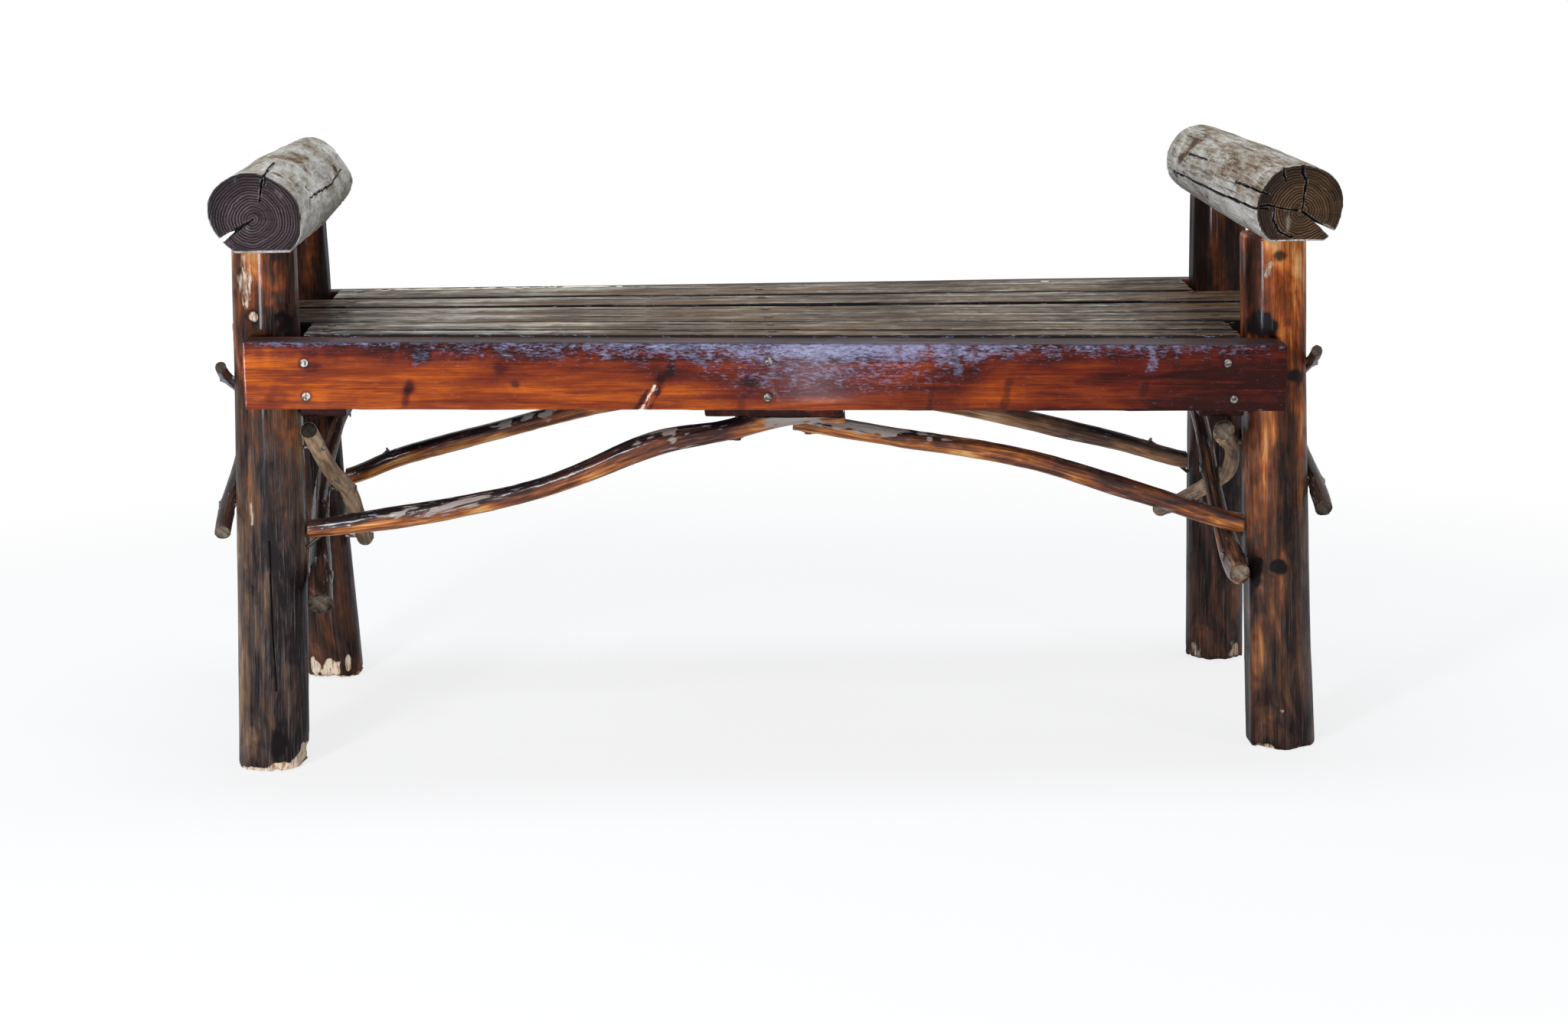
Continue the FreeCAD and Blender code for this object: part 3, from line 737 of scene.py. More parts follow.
@dataclass(frozen=True)
class Peeled:
    """Peeled branch: varnished wood with remains of inner bark, sawn ends and painted glints.

    Attributes:
        name: The material's name.
    """

    name: str

    STOPS = (
        (0.0, srgb(214, 162, 98)), (0.25, srgb(178, 108, 48)), (0.5, srgb(122, 66, 38)),
        (0.72, srgb(70, 42, 34)), (1.0, srgb(32, 23, 24)),
    )
    DRY = (
        (0.0, srgb(196, 168, 134)), (0.35, srgb(156, 128, 100)), (0.6, srgb(116, 94, 76)),
        (1.0, srgb(58, 47, 42)),
    )
    BARK = srgb(178, 170, 164)
    BROWN_BARK = srgb(128, 104, 88)
    DARK_END = srgb(46, 40, 36)
    PALE_END = srgb(168, 148, 124)
    GLINT = srgb(176, 178, 196)
    STAIN = srgb(24, 17, 17)
    RINGS_TO_METRE = 3400.0

    def _end(self, wood: WoodGraph, fine: Value) -> Value:
        """Draw the sawn ends.

        Args:
            wood: The graph.
            fine: Noise of the fibres.

        Returns:
            Their colour.
        """
        _, aside, above = wood.split(wood.grain)
        radius = (aside * aside + above * above) ** 0.5
        wave = (radius * self.RINGS_TO_METRE).sine()
        blot = wood.figure(0, 150, 3, 0.6)
        shade = (fine - 0.5) * 1.2 + (blot - 0.5) * 2.2 + wave * 0.10 + 0.9
        end = wood.mix(self.DARK_END, self.PALE_END, wood.side)
        return wood.dim(end, (shade - radius.step(0.005, 0.012) * 0.55).most(0.1))

    def build(self) -> bpy.types.Material:
        """Make the material.

        Returns:
            The material.
        """
        wood = WoodGraph(self.name)
        patch = wood.figure(15, 60, 3, 0.55, 0.6)
        streak = wood.figure(14, 260, 4, 0.65, 0.4)
        fine = wood.figure(60, 700, 3, 0.65)
        level = wood.level((patch, 1.4), (streak, 1.7), (fine, 0.4))
        colour = wood.mix(wood.ramp(level, self.STOPS), wood.ramp(level, self.DRY), wood.haze)
        bare = wood.figure(17, 90, 4, 0.6, 0.9)
        peel = (wood.wear * 0.45 + bare - 0.66).step(0.0, 0.07)
        colour = wood.mix(colour, wood.mix(self.BARK, self.BROWN_BARK, streak), peel)
        # Painted glint: pale blue specks that stand for highlights, more of them where the wood is
        # dark.
        bright = 1.0 - wood.tone.step(0.2, 0.9)
        painted_glint = (wood.figure(55, 300, 3, 0.7) - bright * 0.3).step(0.6, 0.72)
        colour = wood.mix(colour, self.GLINT, painted_glint * 0.55)
        colour = wood.mix(colour, self._end(wood, fine), wood.cut)
        colour = wood.mix(colour, self.STAIN, wood.stain)
        height = streak * 0.35 + patch * 0.3 + peel * 0.35
        rough = streak * 0.2 + 0.4 + wood.haze * 0.2
        coat = (1.0 - wood.haze) * (1.0 - wood.cut) * 0.8
        return wood.varnish(colour, rough, height, 0.0020, coat)


@dataclass(frozen=True)
class Steel:
    """Nail steel with rust.

    Attributes:
        name: The material's name.
        rust: How much of it has rusted.
    """

    name: str
    rust: float

    BRIGHT = srgb(168, 160, 150)
    RUSTED = srgb(52, 36, 28)

    def build(self) -> bpy.types.Material:
        """Make the material.

        Returns:
            The material.
        """
        graph = Graph(bpy.data.materials.new(self.name))
        spot = graph.noise(graph.place(), (420, 420, 420), 3, 0.6)
        share = (spot + self.rust - 0.5).step(0.40, 0.60)
        return graph.finish(
            Base_Color=graph.mix(self.BRIGHT, self.RUSTED, share), Metallic=share * -0.7 + 0.8,
            Roughness=spot * 0.3 + 0.3, Normal=graph.bump(spot, 0.0003, 0.6),
        )


@dataclass(frozen=True)
class Hollow:
    """Dark inside of a drying crack, painted shade of the recess.

    Attributes:
        name: The material's name.
    """

    name: str

    DEEP = srgb(30, 22, 20)
    DUSTY = srgb(58, 44, 38)

    def build(self) -> bpy.types.Material:
        """Make the material.

        Returns:
            The material.
        """
        graph = Graph(bpy.data.materials.new(self.name))
        spot = graph.noise(graph.place(), (180, 180, 180), 3, 0.6)
        # Painted shade, a little paler in spots.
        colour = graph.mix(self.DEEP, self.DUSTY, spot.step(0.4, 0.7))
        rough = spot * 0.2 + 0.7
        return graph.finish(
            Base_Color=colour, Roughness=rough, Normal=graph.bump(spot, 0.0006, 0.6)
        )


class Wood(Enum):
    """Material slots of the record that wood takes its finish from."""

    POLE = "varnished_pole"
    LOG = "weathered_log"
    VARNISHED = "varnished_board"
    WEATHERED = "weathered_board"
    BRANCH = "peeled_branch"


@dataclass(frozen=True)
class Layer:
    """One layer of uneven surface.

    Attributes:
        depth: How deep it presses in, in metres.
        along: Cells to the metre along the grain.
        across: Cells to the metre across it.
    """

    depth: float
    along: float
    across: float


@dataclass(frozen=True)
class Relief:
    """Uneven surface of one kind of timber.

    Attributes:
        voxel: Size of the mesh's cells, in metres.
        layers: What is pressed into it.
    """

    voxel: float
    layers: tuple[Layer, ...]


@dataclass(frozen=True)
class Mark:
    """Knot, stain or worn place of a piece.

    Attributes:
        centre: Its middle in the row frame, in metres.
        reach: Half sizes along the row frame's axes, in metres.
        stain: How dark it is at its middle.
        wear: How pale it is at its middle.
        press: How far it is pressed in, in metres.
        tone: How much darker it makes the wood, or brighter where it is negative.
        haze: How much it clouds the surface, and on boards, slats and log ends how much painted
            reflection and glint it lays on.
        ragged: How uneven its rim is.
    """

    centre: Point
    reach: Point
    stain: float = 0.0
    wear: float = 0.0
    press: float = 0.0
    tone: float = 0.0
    haze: float = 0.0
    ragged: float = 0.3


@dataclass(frozen=True)
class Crack:
    """Drying crack, cut as a wedge along a line on the surface.

    Attributes:
        line: Points that it follows, in the row frame, in metres.
        widths: Its width at each point, in metres.
        inward: Direction into the wood.
        depth: How deep it is, in metres.
    """

    line: tuple[Point, ...]
    widths: tuple[float, ...]
    inward: Point
    depth: float

    LIFT = 0.004

    def add(self, form: bmesh.types.BMesh) -> None:
        """Add the wedge to a mesh, from a little outside the surface to its full depth.

        Args:
            form: The mesh.
        """
        inward = Vector(self.inward).normalized()
        rows = []
        points = [Vector(point) for point in self.line]
        for index, (point, width) in enumerate(zip(points, self.widths)):
            ahead = points[min(index + 1, len(points) - 1)] - points[max(index - 1, 0)]
            half = width / 2 * (1 + self.LIFT / self.depth)
            across = ahead.cross(inward).normalized() * half
            top = point - inward * self.LIFT
            rows.append([form.verts.new(place) for place in (top + across, top - across)])
            rows[-1].append(form.verts.new(point + inward * self.depth))
        form.faces.new(rows[0])
        form.faces.new(reversed(rows[-1]))
        for near, far in zip(rows, rows[1:]):
            for i in range(3):
                form.faces.new((near[i], far[i], far[(i + 1) % 3], near[(i + 1) % 3]))


@dataclass(frozen=True)
class Dress:
    """How one node differs from others of its wood.

    Attributes:
        tone: How dark it is at the two ends of its grain.
        up: How much darker it is where it faces up.
        haze: How dry or clouded it is all over, and on slats and log ends how much painted glint
            and sheen it shows.
        end: How pale its sawn ends are, or on slats how much painted shade darkens their sides and
            undersides.
        marks: Its knots, stains and worn places.
        cracks: Its drying cracks.
        plug: Wood that narrows the node's own check before they are cut.
    """

    tone: tuple[float, float] = (0.4, 0.4)
    up: float = 0.0
    haze: float = 0.0
    end: float = 0.3
    marks: tuple[Mark, ...] = ()
    cracks: tuple[Crack, ...] = ()
    plug: Optional[Crack] = None


RELIEFS: dict[Wood, Relief] = {
    Wood.POLE: Relief(
        0.0022, (Layer(0.0010, 8, 40), Layer(0.0006, 6, 120), Layer(0.0004, 30, 60))
    ),
    Wood.LOG: Relief(
        0.0021, (Layer(0.0016, 13, 24), Layer(0.0009, 28, 60), Layer(0.0005, 40, 200))
    ),
    Wood.VARNISHED: Relief(0.0021, (Layer(0.0005, 6, 26), Layer(0.0003, 8, 120))),
    Wood.WEATHERED: Relief(0.0023, (Layer(0.0007, 5, 26), Layer(0.0006, 8, 160))),
    Wood.BRANCH: Relief(
        0.0015, (Layer(0.0010, 26, 60), Layer(0.0006, 22, 170), Layer(0.0004, 90, 110))
    ),
}


@dataclass
class Weather:
    """What is painted on a timber's vertices and pressed into them, one value for each.

    Attributes:
        stain, wear: How dark and how pale they are.
        press: How far they are pressed in, in metres.
        tone, haze: How dark the wood is, and how clouded, with the painted sheen laid on it.
    """

    stain: np.ndarray
    wear: np.ndarray
    press: np.ndarray
    tone: np.ndarray
    haze: np.ndarray

    CORE = (1.15, 0.45)
    GLOW = (1.5, 0.1)

    def add(self, mark: Mark, points: np.ndarray, rim: np.ndarray) -> None:
        """Add a mark.

        Args:
            mark: The mark.
            points: The timber's vertices.
            rim: Noise that makes its rim uneven.
        """
        offset = (points - np.array(mark.centre)) / np.array(mark.reach)
        gap = np.linalg.norm(offset, axis=1) + rim * mark.ragged
        share, soft = smooth(*self.CORE, gap), smooth(*self.GLOW, gap)
        self.stain = np.maximum(self.stain * (1 - share * mark.wear), share * mark.stain)
        self.wear = np.maximum(self.wear * (1 - share * mark.stain), share * mark.wear)
        self.press += share * mark.press
        self.tone += soft * mark.tone
        self.haze = np.maximum(self.haze, soft * mark.haze)


class Timber:
    """Dressed stand-in for one wooden node: its own shape, with an uneven weathered surface."""

    ARRIS_PASSES = 2
    ARRIS_FACTOR = 0.5
    NEIGHBOUR_PASSES = 3
    CHIPPED_ARRIS = (0.25, 0.8)
    WORN_ARRIS = (0.35, 0.8)
    ARRIS_WEAR = 0.5
    END_FACING = (0.55, 0.85)
    END_ZONE = (0.02, 0.008)
    BEARING_FACE = (0.98, 0.85)
    FACING_UP = (-0.2, 0.75)
    TOP_FACE = (0.3, 0.8)
    CHIP_DEPTH = 0.0012
    CHIP_CELLS = (60, 90, 90)
    WEAR_CELLS = 45
    RIM_CELLS = 130
    CHIP_SEED, WEAR_SEED, RIM_SEED = 20, 21, 30
    SHARP_ANGLE = math.radians(52)

    def __init__(
        self, node: str, wood: Wood, dress: Dress, skins: Sequence[bpy.types.Material]
    ) -> None:
        """Remesh a copy of the node.

        Args:
            node: Name of the CAD node.
            wood: What it is made of.
            dress: Its own looks.
            skins: What its surface and its cracks are shown in.
        """
        self.node = node
        self.wood = wood
        self.dress = dress
        self.skins = skins
        self.relief = RELIEFS[wood]
        self.seed = sum(ord(letter) * (place + 3) for place, letter in enumerate(node)) % 4096
        self.mesh = self._remesh(bpy.data.objects[node])
        self.points = self._read(self.mesh.vertices, "co")
        self.normals = self._read(self.mesh.vertex_normals, "vector")

    def _remesh(self, source: bpy.types.Object) -> bpy.types.Mesh:
        """Make an even mesh of the node's shape with its arrises rounded and its cracks cut.

        Args:
            source: The node's object.

        Returns:
            The mesh.
        """
        copy = bpy.data.objects.new(self.node + "_copy", source.data.copy())
        copy.data.materials.clear()
        copy.data.materials.append(self.skins[0])
        if self.dress.plug:
            form = bmesh.new()
            form.from_mesh(copy.data)
            self.dress.plug.add(form)
            form.to_mesh(copy.data)
            form.free()
        bpy.context.scene.collection.objects.link(copy)
        remesh = copy.modifiers.new("even", "REMESH")
        remesh.mode = "VOXEL"
        remesh.voxel_size = self.relief.voxel
        soften = copy.modifiers.new("arris", "SMOOTH")
        soften.factor = self.ARRIS_FACTOR
        soften.iterations = self.ARRIS_PASSES
        scrap = [copy]
        for number, crack in enumerate(self.dress.cracks):
            cutter = self._cutter(crack)
            scrap.append(cutter)
            cut = copy.modifiers.new(f"crack {number}", "BOOLEAN")
            cut.operation = "DIFFERENCE"
            cut.solver = "EXACT"
            cut.material_mode = "TRANSFER"
            cut.object = cutter
        graph = bpy.context.evaluated_depsgraph_get()
        mesh = bpy.data.meshes.new_from_object(copy.evaluated_get(graph))
        for item in scrap:
            data = item.data
            bpy.data.objects.remove(item)
            bpy.data.meshes.remove(data)
        mesh.name = self.node + "_wood"
        return mesh

    def _cutter(self, crack: Crack) -> bpy.types.Object:
        """Make the object that cuts a crack.

        Args:
            crack: The crack.

        Returns:
            The cutter, in the scene.
        """
        form = bmesh.new()
        crack.add(form)
        bmesh.ops.recalc_face_normals(form, faces=form.faces)
        data = bpy.data.meshes.new("cutter")
        form.to_mesh(data)
        form.free()
        data.materials.append(self.skins[-1])
        cutter = bpy.data.objects.new("cutter", data)
        bpy.context.scene.collection.objects.link(cutter)
        return cutter

    @staticmethod
    def _read(items: bpy.types.bpy_prop_collection, name: str) -> np.ndarray:
        """Read a vector of each vertex.

        Args:
            items: The mesh's collection.
            name: The vector's name there.

        Returns:
            One row for each vertex.
        """
        values = np.empty(len(items) * 3, dtype=np.float32)
        items.foreach_get(name, values)
        return values.reshape(-1, 3).astype(np.float64)

    def _store(self, name: str, kind: str, key: str, values: np.ndarray) -> None:
        """Store an attribute of the vertices.

        Args:
            name: The attribute's name.
            kind: Its type.
            key: Name of its values in the collection.
            values: One row for each vertex.
        """
        attribute = self.mesh.attributes.new(name, kind, "POINT")
        attribute.data.foreach_set(key, values.astype(np.float32).ravel())

    def _arrises(self) -> np.ndarray:
        """Find how far the vertices stand out of their neighbours.

        Returns:
            One distance for each vertex, in cells of the mesh.
        """
        edges = np.empty(len(self.mesh.edges) * 2, dtype=np.int32)
        self.mesh.edges.foreach_get("vertices", edges)
        first, second = edges.reshape(-1, 2).T
        mean = self.points.copy()
        for _ in range(self.NEIGHBOUR_PASSES):
            total = np.zeros_like(mean)
            count = np.zeros(len(mean))
            for one, other in ((first, second), (second, first)):
                for i in range(3):
                    total[:, i] += np.bincount(one, weights=mean[other, i], minlength=len(mean))
                count += np.bincount(one, minlength=len(mean))
            mean = total / np.maximum(count, 1)[:, None]
        out = np.einsum("ij,ij->i", self.points - mean, self.normals)
        return out / self.relief.voxel

    def _weather(self, grain: np.ndarray, length: float, nails: Nails) -> Weather:
        """Work out the relief, the marks and the wear of the arrises.

        Args:
            grain: Each vertex's place in the wood.
            length: The piece's length along its grain.
            nails: Places of the nails, for the stain around their heads.

        Returns:
            What is painted on the vertices and pressed into them.
        """
        press = np.zeros(len(self.points))
        for number, layer in enumerate(self.relief.layers):
            scaled = grain * np.array([layer.along, layer.across, layer.across])
            press += layer.depth * (noise(scaled, self.seed + number) + 1) / 2
        arris = self._arrises()
        chips = noise(grain * self.CHIP_CELLS, self.seed + self.CHIP_SEED)
        press += smooth(*self.CHIPPED_ARRIS, arris) * smooth(0.1, 0.8, chips) * self.CHIP_DEPTH
        worn = smooth(-0.1, 0.8, noise(grain * self.WEAR_CELLS, self.seed + self.WEAR_SEED))
        tone = np.interp(grain[:, 0] / length, (0, 1), self.dress.tone)
        tone += smooth(*self.FACING_UP, self.normals[:, 2]) * self.dress.up
        weather = Weather(
            stain=np.zeros(len(self.points)),
            wear=smooth(*self.WORN_ARRIS, arris) * worn * self.ARRIS_WEAR,
            press=press, tone=tone, haze=np.full(len(self.points), self.dress.haze),
        )
        rim = noise(self.points * self.RIM_CELLS, self.seed + self.RIM_SEED)
        for mark in self.dress.marks:
            weather.add(mark, self.points, rim)
        heads = nails.stain(self.points)
        weather.press *= 1 - heads * 2
        weather.stain = np.maximum(weather.stain, heads)
        return weather

    def _side(self, along: np.ndarray) -> np.ndarray:
        """Work out the last channel of the paint, which each wood uses in its own way.

        Args:
            along: How far each vertex faces along the grain.

        Returns:
            How much painted shade darkens a slat's sides and underside, how far a board faces up,
            or how pale sawn ends are.
        """
        if self.wood is Wood.WEATHERED:
            # Painted shade on a slat's sides, ends and underside.
            side = np.maximum(np.abs(self.normals[:, 1]), along)
            beneath = smooth(0.0, -0.5, self.normals[:, 2]) * 0.6
            return np.maximum(side, beneath) * self.dress.end
        if self.wood is Wood.VARNISHED:
            return smooth(*self.TOP_FACE, self.normals[:, 2])
        return np.full(len(self.points), self.dress.end)

    def build(self, nails: Nails) -> None:
        """Press the relief in, paint the marks and put the piece in its node's place.

        Args:
            nails: Places of the nails, for the stain around their heads.
        """
        spine = Spine(self.points)
        grain = spine.grain(self.points)
        length = spine.lengths[-1]
        along = np.abs(np.einsum("ij,ij->i", self.normals, spine.tangents(self.points)))
        near_end = np.minimum(grain[:, 0], length - grain[:, 0])
        cut = smooth(*self.END_FACING, along) * smooth(*self.END_ZONE, near_end)
        weather = self._weather(grain, length, nails)
        side = self._side(along)
        if self.wood in (Wood.LOG, Wood.POLE):
            facing = self.normals[:, 2] * (1 if self.wood is Wood.POLE else -1)
            weather.press *= smooth(*self.BEARING_FACE, facing)
        self.points -= self.normals * weather.press[:, None]
        self.mesh.vertices.foreach_set("co", self.points.astype(np.float32).ravel())
        full = np.ones(len(self.points))
        marks = np.stack([weather.stain, weather.wear, cut, full], axis=1)
        tint = np.stack([weather.tone, weather.haze, side, full], axis=1)
        self._store("grain", "FLOAT_VECTOR", "vector", grain)
        self._store("marks", "FLOAT_COLOR", "color", marks)
        self._store("tint", "FLOAT_COLOR", "color", tint)
        self.mesh.shade_smooth()
        self.mesh.set_sharp_from_angle(angle=self.SHARP_ANGLE)
        self.mesh.update()
        piece = bpy.data.objects.new(self.node + "_wood", self.mesh)
        bpy.context.scene.collection.objects.link(piece)
        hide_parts(self.node)
        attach(piece, "root")


@dataclass
class Nails:
    """Wire nails, and the places of their heads, found as islands of the nodes' meshes.

    Attributes:
        heads: Middle of each nail's outer end.
    """

    heads: list[np.ndarray] = field(default_factory=list)

    MERGE = 1e-5
    END = 1e-4
    NEAR = 0.01
    RING = (0.0095, 0.0040)
    DARKNESS = 0.5

    def build(self, nodes: dict[str, bpy.types.Object]) -> None:
        """Give the nails their steel and find their heads.

        Args:
            nodes: The CAD nodes by name.
        """
        bright, rusty = Steel("bright_nail", 0.5).build(), Steel("rusty_nail", 0.8).build()
        steels = {"apron_nails": bright, "brace_nails": bright}
        for name, source in nodes.items():
            if name.endswith("_nails"):
                self._find(source)
                source.data.materials.clear()
                source.data.materials.append(steels.get(name, rusty))
                LOG.info("dressed %s", name)

    def _find(self, source: bpy.types.Object) -> None:
        """Find the heads of one group of nails.

        Args:
            source: The group's CAD object.
        """
        form = bmesh.new()
        form.from_mesh(source.data)
        bmesh.ops.remove_doubles(form, verts=form.verts, dist=self.MERGE)
        left = set(form.verts)
        while left:
            island, edge = set(), [left.pop()]
            while edge:
                vertex = edge.pop()
                island.add(vertex)
                for link in vertex.link_edges:
                    other = link.other_vert(vertex)
                    if other in left:
                        left.discard(other)
                        edge.append(other)
            self.heads.append(self._head(np.array([vertex.co for vertex in island])))
        form.free()

    @classmethod
    def _head(cls, points: np.ndarray) -> np.ndarray:
        """Find a nail's head, which is the wider of its two ends.

        Args:
            points: The nail's vertices.

        Returns:
            The head's middle.
        """
        spread = points - points.mean(axis=0)
        _, _, axes = np.linalg.svd(spread, full_matrices=False)
        place = spread @ axes[0]
        wide = np.linalg.norm(spread - np.outer(place, axes[0]), axis=1)
        ends = (place > place.max() - cls.END, place < place.min() + cls.END)
        widest = max(ends, key=lambda end: wide[end].max())
        return points[widest].mean(axis=0)

    def stain(self, points: np.ndarray) -> np.ndarray:
        """Dark rings that the nails leave in the wood.

        Args:
            points: Vertices of a piece.

        Returns:
            How dark each is.
        """
        low, high = points.min(axis=0) - self.NEAR, points.max(axis=0) + self.NEAR
        stain = np.zeros(len(points))
        for head in self.heads:
            if np.all(head > low) and np.all(head < high):
                gap = np.linalg.norm(points - head, axis=1)
                stain = np.maximum(stain, smooth(*self.RING, gap) * self.DARKNESS)
        return stain


@dataclass(frozen=True)
class Lamp:
    """Soft lamp that faces the bench.

    Attributes:
        name: The lamp's name.
        place: Where it hangs.
        size: Its width and height.
        power: Its power in watts.
        colour: Its colour.
    """

    name: str
    place: Point
    size: tuple[float, float]
    power: float
    colour: tuple[float, float, float]

    AIM = (0.0, 0.0, 0.35)

    def build(self) -> None:
        """Hang the lamp."""
        data = bpy.data.lights.new(self.name, "AREA")
        data.shape = "RECTANGLE"
        data.size, data.size_y = self.size
        data.energy = self.power
        data.color = self.colour
        lamp = bpy.data.objects.new(self.name, data)
        lamp.location = self.place
        aim = Vector(self.AIM) - Vector(self.place)
        lamp.rotation_euler = aim.to_track_quat("-Z", "Y").to_euler()
        bpy.context.scene.collection.objects.link(lamp)


@dataclass(frozen=True)
class Studio:
    """Camera, lamps, world and floor.

    Attributes:
        focal: The camera's focal length in millimetres, from pixels of a frame 2048 wide.
        yaw, pitch, roll: How the camera is turned, in radians.
        offset: Where it stands, from the foot of the front apron's middle.
        sky: Colour of the light from all around.
        sky_strength: How strong it is.
        ground: Colour of the floor.
        lamps: The lamps.
    """

    focal: float = 3972.5 / 2048 * 36.0
    yaw: float = -0.0495
    pitch: float = 0.2228
    roll: float = -0.0075
    offset: Point = (-0.1376, -3.0416, 0.9711)
    sky: Colour = (0.84, 0.92, 1.0, 1.0)
    sky_strength: float = 0.26
    ground: Colour = (0.86, 0.87, 0.89, 1.0)
    lamps: tuple[Lamp, ...] = (
        Lamp("key", (-1.7, -2.9, 2.3), (0.40, 1.3), 66.0, (0.98, 0.98, 1.0)),
        Lamp("fill", (2.6, -2.2, 1.5), (0.7, 1.2), 14.0, (1.0, 0.96, 0.92)),
        Lamp("left_glow", (-1.05, -1.95, 0.32), (0.16, 0.5), 15.0, (0.84, 0.89, 1.0)),
        Lamp("right_glow", (0.14, -1.96, 0.20), (0.06, 0.32), 1.2, (0.92, 0.88, 1.0)),
        Lamp("sky", (0.0, 0.2, 3.0), (1.8, 1.0), 50.0, (0.86, 0.93, 1.0)),
    )

    SENSOR = 36.0
    CLIP_END = 60.0
    FLOOR_REACH = 30.0

    def camera(self) -> None:
        """Set the camera up as the photograph was taken, from the front apron's middle."""
        low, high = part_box("front_apron")
        origin = Vector(((low.x + high.x) / 2, low.y, 0.0))
        right = Vector((math.cos(self.yaw), math.sin(self.yaw), 0))
        level = Vector((-math.sin(self.yaw), math.cos(self.yaw), 0))
        ahead = level * math.cos(self.pitch) - Vector((0, 0, math.sin(self.pitch)))
        above = right.cross(ahead)
        tilted = right * math.cos(self.roll) + above * math.sin(self.roll)
        upward = above * math.cos(self.roll) - right * math.sin(self.roll)
        data = bpy.data.cameras.new("camera")
        data.lens = self.focal
        data.sensor_width = self.SENSOR
        data.clip_end = self.CLIP_END
        camera = bpy.data.objects.new("camera", data)
        turn = Matrix((tilted, upward, -ahead)).transposed().to_4x4()
        camera.matrix_world = Matrix.Translation(origin + Vector(self.offset)) @ turn
        bpy.context.scene.collection.objects.link(camera)
        bpy.context.scene.camera = camera

    def world(self) -> None:
        """Even pale surroundings that show white to the camera and in mirror images."""
        world = bpy.data.worlds.new("studio")
        bpy.context.scene.world = world
        graph = Graph(world, "ShaderNodeOutputWorld")
        inputs = {"Color": self.sky, "Strength": self.sky_strength}
        soft = graph.node("ShaderNodeBackground", inputs)
        plain = graph.node("ShaderNodeBackground", {"Strength": 1.0})
        share = graph.ray("Is Camera Ray")
        for kind in ("Is Glossy Ray", "Is Transmission Ray"):
            share = share.most(graph.ray(kind))
        graph.close(graph.node("ShaderNodeMixShader", (share, soft, plain)))

    def floor(self) -> None:
        """White floor that keeps the bench's shadow and runs out into plain white."""
        form = bmesh.new()
        bmesh.ops.create_grid(form, x_segments=2, y_segments=2, size=self.FLOOR_REACH)
        mesh = bpy.data.meshes.new("floor")
        form.to_mesh(mesh)
        form.free()
        floor = bpy.data.objects.new("floor", mesh)
        bpy.context.scene.collection.objects.link(floor)
        graph = Graph(bpy.data.materials.new("floor"))
        x, y, _ = graph.split(graph.place())
        far = (x * x * 0.6 + y * y).step(0.2, 2.0)
        matte = graph.node("ShaderNodeBsdfDiffuse", {"Color": self.ground})
        white = graph.node("ShaderNodeEmission", {"Strength": 1.0})
        share = graph.ray("Is Camera Ray") * (far * 0.20 + 0.80)
        graph.close(graph.node("ShaderNodeMixShader", (share, matte, white)))
        mesh.materials.append(graph.owner)
        floor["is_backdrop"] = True

    def build(self) -> None:
        """Set everything up."""
        self.camera()
        self.world()
        self.floor()
        for lamp in self.lamps:
            lamp.build()
        bpy.context.scene.view_settings.view_transform = "Standard"


# Front ends of the logs and face of the front apron in the row frame, and ways into the wood.
FRONT = -0.2369
FACE = -0.244
INTO = (0.0, 1.0, 0.0)
LEFT_CHECK_IN = (0.0344, 0.0, 0.0217)

# Spacing of a trail's marks in shares of its half width, and how far they reach into the wood.
TRAIL_STEP = 0.45
TRAIL_REACH = 0.02

# Widths of a log's check at its ends, and how far it stands proud and passes the pith.
CHECK_WIDTHS = (0.0036, 0.001)
CHECK_PROUD = 0.003
CHECK_PAST = 0.001


def trail(
    start: tuple[float, float], end: tuple[float, float], reach: float, **looks: float
) -> tuple[Mark, ...]:
    """Slanting knot or split on the front apron's face, as a row of marks.

    Args:
        start: Its upper end, across and up.
        end: Its lower end.
        reach: Half its width.
        looks: Looks of each mark.

    Returns:
        The marks.
    """
    count = max(2, round(math.dist(start, end) / (reach * TRAIL_STEP)))
    shares = [index / (count - 1) for index in range(count)]
    places = [[near + (far - near) * share for near, far in zip(start, end)] for share in shares]
    size = (reach, TRAIL_REACH, reach)
    return tuple(Mark((x, FACE, z), size, ragged=0.5, **looks) for x, z in places)


def log_check(near: Point, far: Point, pith: tuple[float, float]) -> Crack:
    """Wide check of a log, from its rim to its pith and along most of its length.

    Args:
        near: Where it opens on the front end.
        far: Where it closes on the side.
        pith: The log's pith on the front end, across and up.

    Returns:
        The crack.
    """
    inward = (pith[0] - near[0], 0.0, pith[1] - near[2])
    start = (near[0], near[1] - CHECK_PROUD, near[2])
    depth = math.hypot(inward[0], inward[2]) + CHECK_PAST
    return Crack((start, far), CHECK_WIDTHS, inward, depth)


